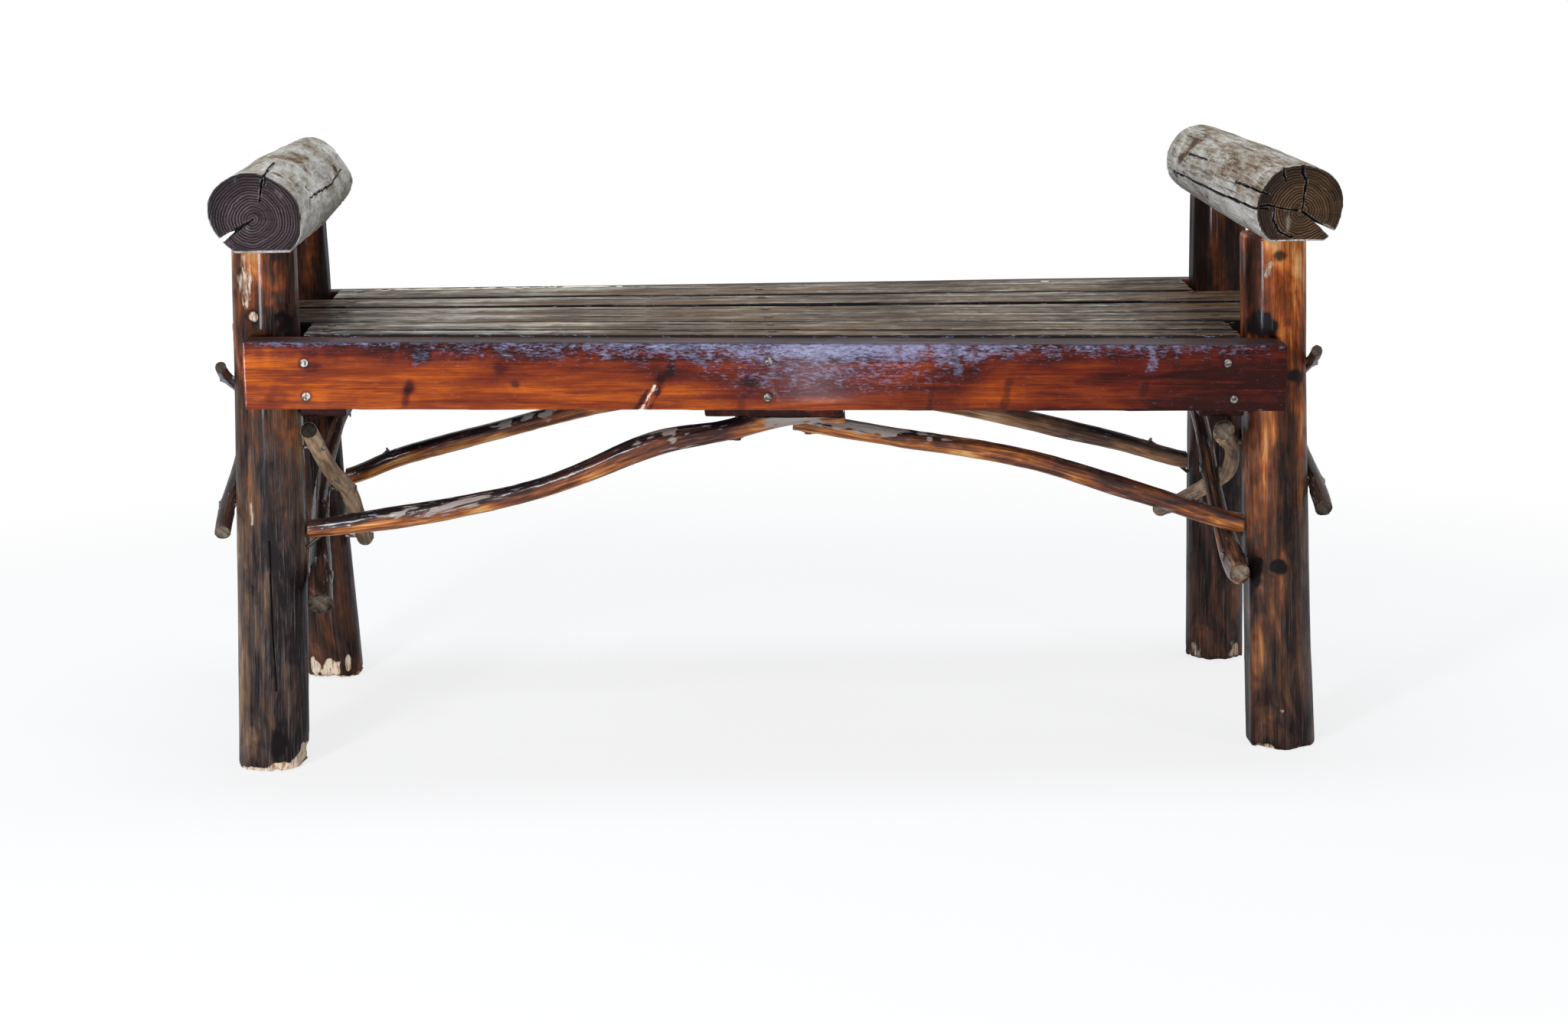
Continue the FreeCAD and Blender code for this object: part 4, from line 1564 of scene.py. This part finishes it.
class Finishes:
    """Materials of the bench's wood, each made once."""

    POLE_STOPS = (
        (0.0, srgb(222, 168, 108)), (0.22, srgb(190, 104, 40)), (0.42, srgb(132, 62, 24)),
        (0.62, srgb(80, 37, 15)), (0.80, srgb(50, 24, 12)), (1.0, srgb(22, 11, 7)),
    )
    BOARD_STOPS = (
        (0.0, srgb(216, 126, 36)), (0.28, srgb(176, 82, 12)), (0.50, srgb(128, 51, 14)),
        (0.74, srgb(90, 28, 14)), (1.0, srgb(44, 13, 8)),
    )
    LEFT_PITH = (-0.5241, 0.5889)
    RIGHT_PITH = (0.5339, 0.5828)

    def __init__(self) -> None:
        """Make the materials."""
        self.hollow = Hollow("hollow").build()
        self.woods = {
            Wood.POLE: Varnished("pole", self.POLE_STOPS, board=False).build(),
            Wood.VARNISHED: Varnished("board", self.BOARD_STOPS, board=True).build(),
            Wood.WEATHERED: Weathered("grey_board").build(),
            Wood.BRANCH: Peeled("branch").build(),
        }
        left = LogWood("left_log", self.LEFT_PITH, srgb(90, 77, 78), srgb(34, 26, 27), 0.1)
        right = LogWood("right_log", self.RIGHT_PITH, srgb(104, 79, 54), srgb(40, 29, 22), 0.8)
        self.logs = {"left_arm_log": left.build(), "right_arm_log": right.build()}

    def skins(self, node: str, wood: Wood) -> tuple[bpy.types.Material, bpy.types.Material]:
        """Choose what a node's surface and its cracks are shown in."""
        return self.logs[node] if node in self.logs else self.woods[wood], self.hollow


@dataclass(frozen=True)
class SubAssembly:
    """Wooden nodes of one kind, with the looks of each in the field of its name."""

    WOOD = Wood.BRANCH

    def build(self, finishes: Finishes, nails: Nails) -> None:
        """Dress the nodes.

        Args:
            finishes: The materials.
            nails: Places of the nails.
        """
        for item in fields(self):
            skins = finishes.skins(item.name, self.WOOD)
            Timber(item.name, self.WOOD, getattr(self, item.name), skins).build(nails)
            LOG.info("dressed %s", item.name)


@dataclass(frozen=True)
class SeatFrame(SubAssembly):
    """Aprons along the front and the back, and the bearers between them."""

    WOOD = Wood.VARNISHED

    front_apron: Dress = Dress(
        (0.38, 0.86),
        marks=(
            # Painted reflection: marks with haze lay the sky mirrored in the varnish, as pale blue
            # specks along the top and glints on some knots.
            Mark((-0.33, FACE, 0.4655), (0.30, 0.03, 0.0055), haze=0.8, tone=0.5),
            Mark((-0.36, FACE, 0.460), (0.30, 0.03, 0.014), tone=0.34),
            Mark((-0.02, FACE, 0.461), (0.36, 0.03, 0.020), haze=0.8, tone=0.2),
            Mark((0.08, FACE, 0.454), (0.24, 0.03, 0.024), haze=1.0, tone=0.1),
            Mark((0.38, FACE, 0.458), (0.22, 0.03, 0.022), haze=0.7, tone=0.2),
            Mark((-0.3641, FACE, 0.4500), (0.012, 0.03, 0.012), stain=0.5, haze=0.65, tone=0.4),
            *trail((-0.3720, 0.4230), (-0.3800, 0.4000), 0.0045, stain=0.28, tone=0.1),
            Mark((-0.2805, FACE, 0.4357), (0.010, 0.02, 0.006), stain=0.4, tone=0.2),
            Mark((-0.2678, FACE, 0.4190), (0.006, 0.02, 0.006), stain=0.5),
            *trail((-0.1080, 0.4370), (-0.1270, 0.4080), 0.0050, stain=0.30, tone=0.1),
            *trail((-0.1260, 0.4150), (-0.1400, 0.3900), 0.0034, wear=0.42, press=0.0006),
            *trail((-0.1330, 0.4100), (-0.1480, 0.3880), 0.0035, stain=0.6),
            *trail((-0.1200, 0.4120), (-0.1320, 0.3900), 0.0022, stain=0.5),
            *trail((-0.0960, 0.4560), (-0.0740, 0.4360), 0.0050, stain=0.40, haze=0.9),
            Mark((-0.0289, FACE, 0.4166), (0.012, 0.02, 0.008), stain=0.35, tone=0.2),
            *trail((-0.0360, 0.4020), (-0.0410, 0.3860), 0.0050, stain=0.35),
            *trail((0.1760, 0.4560), (0.1840, 0.4260), 0.0050, stain=0.40, haze=0.9),
            *trail((0.1590, 0.4080), (0.1530, 0.3860), 0.0050, stain=0.40),
            *trail((0.2360, 0.4120), (0.2300, 0.3860), 0.0050, stain=0.42),
            # Painted sheen low on the middle of the face.
            Mark((0.06, FACE, 0.432), (0.14, 0.03, 0.030), haze=0.55, tone=0.06),
            *trail((0.3820, 0.4480), (0.3830, 0.4260), 0.0070, stain=0.30, haze=0.8),
            *trail((0.3760, 0.4090), (0.3720, 0.3970), 0.0050, stain=0.40),
            Mark((-0.5098, FACE, 0.4128), (0.010, 0.02, 0.008), stain=0.2, tone=0.2),
            Mark((-0.4700, FACE, 0.4412), (0.012, 0.02, 0.007), stain=0.15, tone=0.3),
            Mark((0.49, FACE, 0.43), (0.09, 0.03, 0.05), tone=0.06),
            Mark((0.34, FACE, 0.425), (0.18, 0.03, 0.024), tone=0.14),
            Mark((0.30, FACE, 0.395), (0.24, 0.03, 0.018), tone=-0.2),
            Mark((-0.46, FACE, 0.390), (0.12, 0.03, 0.022), tone=0.14),
            Mark((-0.20, FACE, 0.3800), (0.5, 0.03, 0.004), wear=0.3, tone=0.3),
            Mark((0.30, FACE, 0.3790), (0.3, 0.03, 0.004), wear=0.25, tone=0.3),
        ),
    )
    rear_apron: Dress = Dress((0.75, 0.75))
    left_end_bearer: Dress = Dress((0.95, 0.95))
    centre_bearer: Dress = Dress((1.0, 1.0))
    right_end_bearer: Dress = Dress((0.95, 0.95))


@dataclass(frozen=True)
class Legs(SubAssembly):
    """Round poles that stand on the floor and carry the arm logs."""

    WOOD = Wood.POLE

    front_left_leg: Dress = Dress(
        (0.86, 0.40), 0.0, 0.15,
        marks=(
            Mark((-0.53, -0.17, 0.14), (0.2, 0.2, 0.34), tone=0.06, haze=0.9),
            Mark((-0.515, -0.19, 0.47), (0.03, 0.05, 0.03), tone=0.3),
            Mark((-0.500, -0.18, 0.53), (0.016, 0.06, 0.09), tone=0.5),
            Mark((-0.562, -0.18, 0.53), (0.014, 0.06, 0.09), haze=1.0, tone=-0.3),
            Mark((-0.541, -0.199, 0.517), (0.012, 0.02, 0.050), wear=0.35),
            Mark((-0.5338, -0.2011, 0.4852), (0.011, 0.02, 0.011), stain=0.7),
            Mark((-0.5338, -0.2011, 0.4852), (0.007, 0.02, 0.007), wear=0.6),
            Mark((-0.5008, -0.1961, 0.4753), (0.011, 0.02, 0.014), stain=0.8, press=0.001),
            Mark((-0.5252, -0.2033, 0.0300), (0.010, 0.02, 0.024), stain=0.8, press=0.0012),
            Mark((-0.5417, -0.2005, 0.2970), (0.008, 0.02, 0.040), tone=-0.3),
            Mark((-0.5640, -0.1900, 0.1400), (0.012, 0.04, 0.14), tone=-0.25),
            Mark((-0.5450, -0.1991, 0.2790), (0.003, 0.02, 0.016), wear=0.4),
            Mark((-0.5100, -0.1961, 0.5100), (0.010, 0.03, 0.02), tone=-0.3),
            Mark((-0.4920, -0.1800, 0.2800), (0.005, 0.06, 0.22), haze=1.0, tone=-0.2),
            Mark((-0.5000, -0.1800, 0.1500), (0.014, 0.06, 0.30), tone=0.15),
            Mark((-0.5660, -0.1800, 0.2500), (0.014, 0.06, 0.30), haze=1.0, tone=-0.1),
            Mark((-0.5300, -0.1800, 0.2800), (0.022, 0.06, 0.22), tone=0.20),
            Mark((-0.5120, -0.1950, 0.0030), (0.035, 0.06, 0.010), wear=1.0, press=0.002),
            Mark((-0.4960, -0.1850, 0.0100), (0.010, 0.06, 0.022), wear=1.0, press=0.003),
            Mark((-0.5480, -0.1950, 0.0020), (0.030, 0.06, 0.005), wear=0.7, press=0.002),
        ),
        cracks=(
            Crack(
                ((-0.5265, -0.2035, 0.25), (-0.5272, -0.204, 0.17), (-0.5262, -0.2045, 0.09)),
                (0.0002, 0.0006, 0.0002), INTO, 0.005,
            ),
        ),
    )
    front_right_leg: Dress = Dress(
        (0.84, 0.28), 0.0, 0.05,
        marks=(
            Mark((0.53, -0.17, 0.06), (0.2, 0.2, 0.34), tone=0.06, haze=0.5),
            Mark((0.495, -0.18, 0.53), (0.016, 0.06, 0.09), tone=0.25),
            Mark((0.5198, -0.2029, 0.5337), (0.009, 0.02, 0.008), stain=0.6),
            # Painted highlight: pale patches where the upper leg shows a violet highlight.
            Mark((0.5080, -0.2021, 0.5183), (0.012, 0.02, 0.012), wear=0.3),
            Mark((0.5319, -0.2006, 0.5181), (0.006, 0.02, 0.012), wear=0.3),
            Mark((0.5300, -0.2006, 0.4850), (0.010, 0.02, 0.025), tone=0.2),
            Mark((0.5450, -0.1900, 0.5000), (0.030, 0.04, 0.070), tone=-0.15),
            Mark((0.5020, -0.1996, 0.4590), (0.024, 0.03, 0.020), stain=0.85),
            Mark((0.4880, -0.1850, 0.5000), (0.012, 0.03, 0.080), tone=0.08),
            Mark((0.5405, -0.1987, 0.4054), (0.016, 0.02, 0.012), stain=0.7),
            Mark((0.5060, -0.1980, 0.3450), (0.018, 0.03, 0.060), tone=-0.24),
            Mark((0.5350, -0.1980, 0.3300), (0.012, 0.03, 0.12), tone=0.25),
            Mark((0.5276, -0.2039, 0.2019), (0.014, 0.02, 0.010), stain=0.8, press=0.001),
            Mark((0.5050, -0.1943, 0.1974), (0.009, 0.02, 0.022), stain=0.95),
            Mark((0.5122, -0.1961, 0.1098), (0.012, 0.02, 0.045), tone=-0.35),
            # Painted highlight: a pale grey streak down the right side of the lower leg.
            Mark((0.5600, -0.1900, 0.2000), (0.012, 0.06, 0.22), haze=0.9, tone=-0.15),
            Mark((0.5369, -0.2046, 0.0449), (0.005, 0.01, 0.004), wear=0.5),
            Mark((0.5531, -0.2022, 0.0300), (0.014, 0.02, 0.030), wear=0.2),
            Mark((0.5190, -0.2000, 0.0020), (0.014, 0.03, 0.006), wear=0.4, press=0.002),
            Mark((0.5560, -0.1900, 0.0020), (0.014, 0.03, 0.006), wear=0.3, press=0.002),
        ),
    )
    back_left_leg: Dress = Dress(
        (0.78, 1.0), 0.0, 0.1,
        marks=(
            Mark((-0.51, 0.17, 0.08), (0.2, 0.2, 0.26), haze=0.4),
            Mark((-0.4900, 0.1582, 0.1500), (0.008, 0.03, 0.06), tone=-0.3),
            Mark((-0.5150, 0.1550, 0.5000), (0.014, 0.03, 0.05), tone=-0.38),
            Mark((-0.5060, 0.1498, 0.0120), (0.016, 0.03, 0.016), wear=0.9, press=0.003),
            Mark((-0.5250, 0.1516, 0.0140), (0.008, 0.03, 0.014), wear=1.0, press=0.002),
            Mark((-0.4852, 0.1564, 0.0200), (0.004, 0.03, 0.016), wear=0.7, press=0.002),
            Mark((-0.5020, 0.1700, 0.0000), (0.05, 0.06, 0.008), wear=0.7, press=0.003),
        ),
    )
    back_right_leg: Dress = Dress(
        (0.85, 0.95), 0.0, 0.1,
        marks=(
            Mark((0.53, 0.17, 0.10), (0.2, 0.2, 0.30), haze=0.5),
            Mark((0.5250, 0.1530, 0.4800), (0.014, 0.03, 0.06), tone=-0.3, haze=0.0),
            Mark((0.5560, 0.1560, 0.1000), (0.008, 0.03, 0.09), tone=-0.28),
            Mark((0.5100, 0.1630, 0.0090), (0.012, 0.03, 0.014), wear=0.3, press=0.002),
            Mark((0.5580, 0.1556, 0.0100), (0.012, 0.03, 0.018), wear=0.4, press=0.002),
            Mark((0.5330, 0.1556, 0.0000), (0.05, 0.06, 0.005), wear=0.3, press=0.002),
        ),
    )


@dataclass(frozen=True)
class ArmLogs(SubAssembly):
    """Thick logs along the two ends, with their drying checks."""

    WOOD = Wood.LOG

    left_arm_log: Dress = Dress(
        (0.42, 0.46), 0.05, 0.6,
        marks=(
            Mark((-0.5017, -0.1832, 0.6284), (0.006, 0.010, 0.006), tone=0.6),
            Mark((-0.4755, 0.1396, 0.5980), (0.006, 0.012, 0.006), tone=0.6, stain=0.4),
            Mark((-0.4856, -0.1039, 0.6162), (0.006, 0.016, 0.006), tone=0.4),
            Mark((-0.5240, 0.0000, 0.6340), (0.030, 0.300, 0.020), tone=0.16),
            Mark((-0.4850, -0.1200, 0.5850), (0.03, 0.12, 0.03), tone=-0.2),
        ),
        cracks=(
            Crack(
                ((-0.5585, -0.2399, 0.5672), (-0.5574, -0.1900, 0.5663)),
                (0.0050, 0.0036), LEFT_CHECK_IN, 0.0400,
            ),
            Crack(
                ((-0.5575, -0.1940, 0.5664), (-0.5496, 0.1477, 0.5596)),
                (0.0036, 0.0010), LEFT_CHECK_IN, 0.0090,
            ),
            Crack(
                ((-0.5166, FRONT, 0.6070), (-0.5156, FRONT, 0.6150), (-0.5141, FRONT, 0.6247),
                 (-0.5100, FRONT, 0.6360)),
                (0.0002, 0.0004, 0.0006, 0.0008), INTO, 0.012,
            ),
            Crack(
                ((-0.5107, -0.2400, 0.6330), (-0.5107, FRONT, 0.6330), (-0.5140, -0.1700, 0.6340),
                 (-0.5146, -0.1140, 0.6335)),
                (0.0009, 0.0009, 0.0007, 0.0002), (0.0, 0.0, -1.0), 0.010,
            ),
            Crack(
                ((-0.4737, -0.1640, 0.5905), (-0.4750, -0.1458, 0.5987),
                 (-0.4757, -0.1000, 0.5975), (-0.4735, 0.0400, 0.5914),
                 (-0.4734, 0.1807, 0.5925)),
                (0.0002, 0.0005, 0.0004, 0.0004, 0.0002), (-1.0, 0.0, 0.0), 0.006,
            ),
            Crack(
                ((-0.4799, -0.1326, 0.6091), (-0.4776, -0.1330, 0.6050),
                 (-0.4761, -0.1350, 0.6010)),
                (0.0003, 0.0010, 0.0004), (-1.0, 0.0, 0.0), 0.006,
            ),
        ),
        plug=Crack(
            ((-0.5538, -0.2364, 0.5701), (-0.5452, 0.1600, 0.5628)),
            (0.0080, 0.0026), LEFT_CHECK_IN, 0.0360,
        ),
    )
    right_arm_log: Dress = Dress(
        (0.46, 0.44), 0.22, 0.2,
        marks=(
            Mark((0.4908, 0.1420, 0.6145), (0.006, 0.016, 0.006), tone=0.5),
            Mark((0.4844, 0.1493, 0.6053), (0.006, 0.012, 0.008), tone=0.4, press=0.001),
            Mark((0.4798, 0.1648, 0.5945), (0.006, 0.016, 0.006), tone=0.5),
            Mark((0.4850, 0.0600, 0.6100), (0.03, 0.10, 0.02), tone=-0.15),
            Mark((0.4863, -0.1222, 0.6007), (0.005, 0.008, 0.006), stain=0.8, press=0.001),
            Mark((0.4831, 0.0165, 0.5672), (0.004, 0.007, 0.005), stain=0.9, press=0.001),
            Mark((0.4896, -0.1597, 0.5618), (0.004, 0.005, 0.004), stain=0.8),
            Mark((0.4786, 0.1930, 0.5720), (0.005, 0.010, 0.006), stain=0.8, press=0.001),
            Mark((0.5686, FRONT, 0.6034), (0.010, 0.006, 0.010), stain=0.5),
            Mark((0.4975, FRONT, 0.5958), (0.008, 0.006, 0.012), stain=0.4),
            Mark((0.5200, FRONT, 0.5700), (0.003, 0.006, 0.010), wear=0.25),
            Mark((0.5160, FRONT, 0.5660), (0.016, 0.006, 0.016), tone=-0.3),
            Mark((0.4850, -0.1000, 0.5750), (0.03, 0.14, 0.02), tone=-0.22),
        ),
        cracks=(
            log_check((0.5660, FRONT, 0.5593), (0.5554, 0.1477, 0.5589), (0.5339, 0.5828)),
            Crack(
                ((0.5339, FRONT, 0.5828), (0.5360, FRONT, 0.6000), (0.5377, FRONT, 0.6139),
                 (0.5341, FRONT, 0.6200), (0.5341, FRONT, 0.6340)),
                (0.0003, 0.0006, 0.0011, 0.0008, 0.0012), INTO, 0.014,
            ),
            Crack(
                ((0.5320, FRONT, 0.5832), (0.5150, FRONT, 0.5854), (0.4990, FRONT, 0.5895),
                 (0.4920, FRONT, 0.5885), (0.4830, FRONT, 0.5850)),
                (0.0003, 0.0007, 0.0010, 0.0010, 0.0012), INTO, 0.012,
            ),
            Crack(
                ((0.4862, -0.2400, 0.5858), (0.4845, -0.1600, 0.5836), (0.4820, -0.0881, 0.5814),
                 (0.4799, 0.0370, 0.5791), (0.4786, 0.2022, 0.5752)),
                (0.0014, 0.0016, 0.0015, 0.0012, 0.0004), (1.0, 0.0, 0.0), 0.014,
            ),
            Crack(
                ((0.4899, -0.2380, 0.6030), (0.4883, -0.1766, 0.6021), (0.4863, -0.1222, 0.6007)),
                (0.0014, 0.0013, 0.0005), (1.0, 0.0, -0.3), 0.010,
            ),
            Crack(
                ((0.5056, FRONT, 0.5863), (0.5046, FRONT, 0.5739), (0.5110, FRONT, 0.5621),
                 (0.5246, FRONT, 0.5556)),
                (0.0003, 0.0007, 0.0007, 0.0003), INTO, 0.008,
            ),
            Crack(
                ((0.4835, 0.1347, 0.6034), (0.4865, 0.0350, 0.6071)),
                (0.0003, 0.0008), (1.0, 0.0, -0.5), 0.004,
            ),
            Crack(
                ((0.5140, FRONT, 0.6290), (0.5147, FRONT, 0.6200), (0.5170, FRONT, 0.6130)),
                (0.0014, 0.0010, 0.0004), INTO, 0.008,
            ),
        ),
    )


SLAT_SHADE = (
    Mark((-0.50, -0.04, 0.46), (0.07, 0.40, 0.05), tone=0.45),
    Mark((0.50, -0.04, 0.46), (0.10, 0.40, 0.05), tone=0.45),
)


@dataclass(frozen=True)
class Slats(SubAssembly):
    """Slats of the seat, counted from the front, darker where the legs shade their ends."""

    WOOD = Wood.WEATHERED

    seat_slat_1: Dress = Dress((0.45, 0.56), end=1.0, haze=0.1, marks=SLAT_SHADE)
    seat_slat_2: Dress = Dress((0.40, 0.60), end=0.9, marks=SLAT_SHADE)
    seat_slat_3: Dress = Dress((0.46, 0.60), end=0.8, marks=SLAT_SHADE)
    seat_slat_4: Dress = Dress((0.44, 0.60), end=0.8, marks=SLAT_SHADE)
    seat_slat_5: Dress = Dress((0.40, 0.58), end=1.0, marks=SLAT_SHADE)
    seat_slat_6: Dress = Dress(
        (0.42, 0.5), end=0.8,
        marks=(
            Mark((-0.36, 0.206, 0.455), (0.17, 0.010, 0.03), wear=1.0, ragged=0.6),
            Mark((-0.45, 0.213, 0.455), (0.05, 0.008, 0.03), press=0.004, stain=0.8, ragged=0.9),
            Mark((-0.33, 0.214, 0.455), (0.10, 0.005, 0.03), press=0.003, ragged=0.9),
            Mark((0.3318, 0.1982, 0.4504), (0.006, 0.006, 0.01), wear=1.0),
            # Painted shade where the right legs shade the slat's end.
            Mark((0.45, 0.17, 0.45), (0.06, 0.10, 0.05), tone=0.4),
        ),
    )


@dataclass(frozen=True)
class Arches(SubAssembly):
    """Bent branches that rise from the legs to the middle of the seat."""

    front_left_arch: Dress = Dress(
        (0.43, 0.42), 0.6,
        marks=(
            Mark((-0.36, -0.18, 0.29), (0.10, 0.03, 0.03), wear=0.3),
            Mark((-0.15, -0.18, 0.37), (0.10, 0.03, 0.03), wear=0.6, tone=0.2),
            Mark((0.02, -0.18, 0.38), (0.06, 0.03, 0.03), wear=0.8, tone=-0.2),
        ),
    )
    front_right_arch: Dress = Dress(
        (0.42, 0.56), 0.35,
        marks=(
            Mark((0.14, -0.165, 0.37), (0.13, 0.03, 0.03), wear=0.9, tone=-0.1),
            Mark((0.24, -0.165, 0.340), (0.06, 0.03, 0.03), tone=-0.45),
            Mark((0.36, -0.165, 0.31), (0.04, 0.03, 0.03), tone=0.25),
            Mark((0.45, -0.165, 0.25), (0.05, 0.03, 0.03), tone=-0.3),
        ),
    )
    back_left_arch: Dress = Dress(
        (0.35, 0.40), 0.55, marks=(Mark((-0.30, 0.16, 0.325), (0.09, 0.03, 0.03), wear=0.9),)
    )
    back_right_arch: Dress = Dress(
        (0.15, 0.45), 0.5, 0.6,
        marks=(Mark((0.42, 0.18, 0.29), (0.08, 0.03, 0.02), tone=0.3),),
    )


@dataclass(frozen=True)
class Braces(SubAssembly):
    """Crossed thin poles inside and outside the two ends."""

    inner_left_fall: Dress = Dress((0.25, 0.35), 0.05, 0.9, 0.0)
    inner_left_climb: Dress = Dress((0.80, 0.75), 0.1, 0.2, 0.2)
    inner_right_fall: Dress = Dress((0.45, 0.30), 0.05, 0.9, 0.35)
    inner_right_climb: Dress = Dress((0.55, 0.80), 0.1, 0.3, 0.6)
    outer_left_fall: Dress = Dress((0.80, 0.80), 0.1, 0.2, 0.1)
    outer_left_climb: Dress = Dress((0.80, 0.80), 0.1, 0.2, 0.35)
    outer_right_fall: Dress = Dress((0.75, 0.80), 0.1, 0.2, 0.15)
    outer_right_climb: Dress = Dress((0.80, 0.80), 0.1, 0.1, 0.1)


def main() -> None:
    """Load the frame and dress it."""
    logging.basicConfig(level=logging.INFO)
    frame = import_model()
    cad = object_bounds()
    finishes = Finishes()
    nails = Nails()
    nails.build(frame["nodes"])
    for assembly in (SeatFrame(), Legs(), ArmLogs(), Slats(), Arches(), Braces()):
        assembly.build(finishes, nails)
    Studio().build()
    sizes = {
        "cad": [list(corner) for corner in cad],
        "visual": [list(corner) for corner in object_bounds()],
    }
    LOG.info("sizes: %s", sizes)


if __name__ == "__main__":
    main()
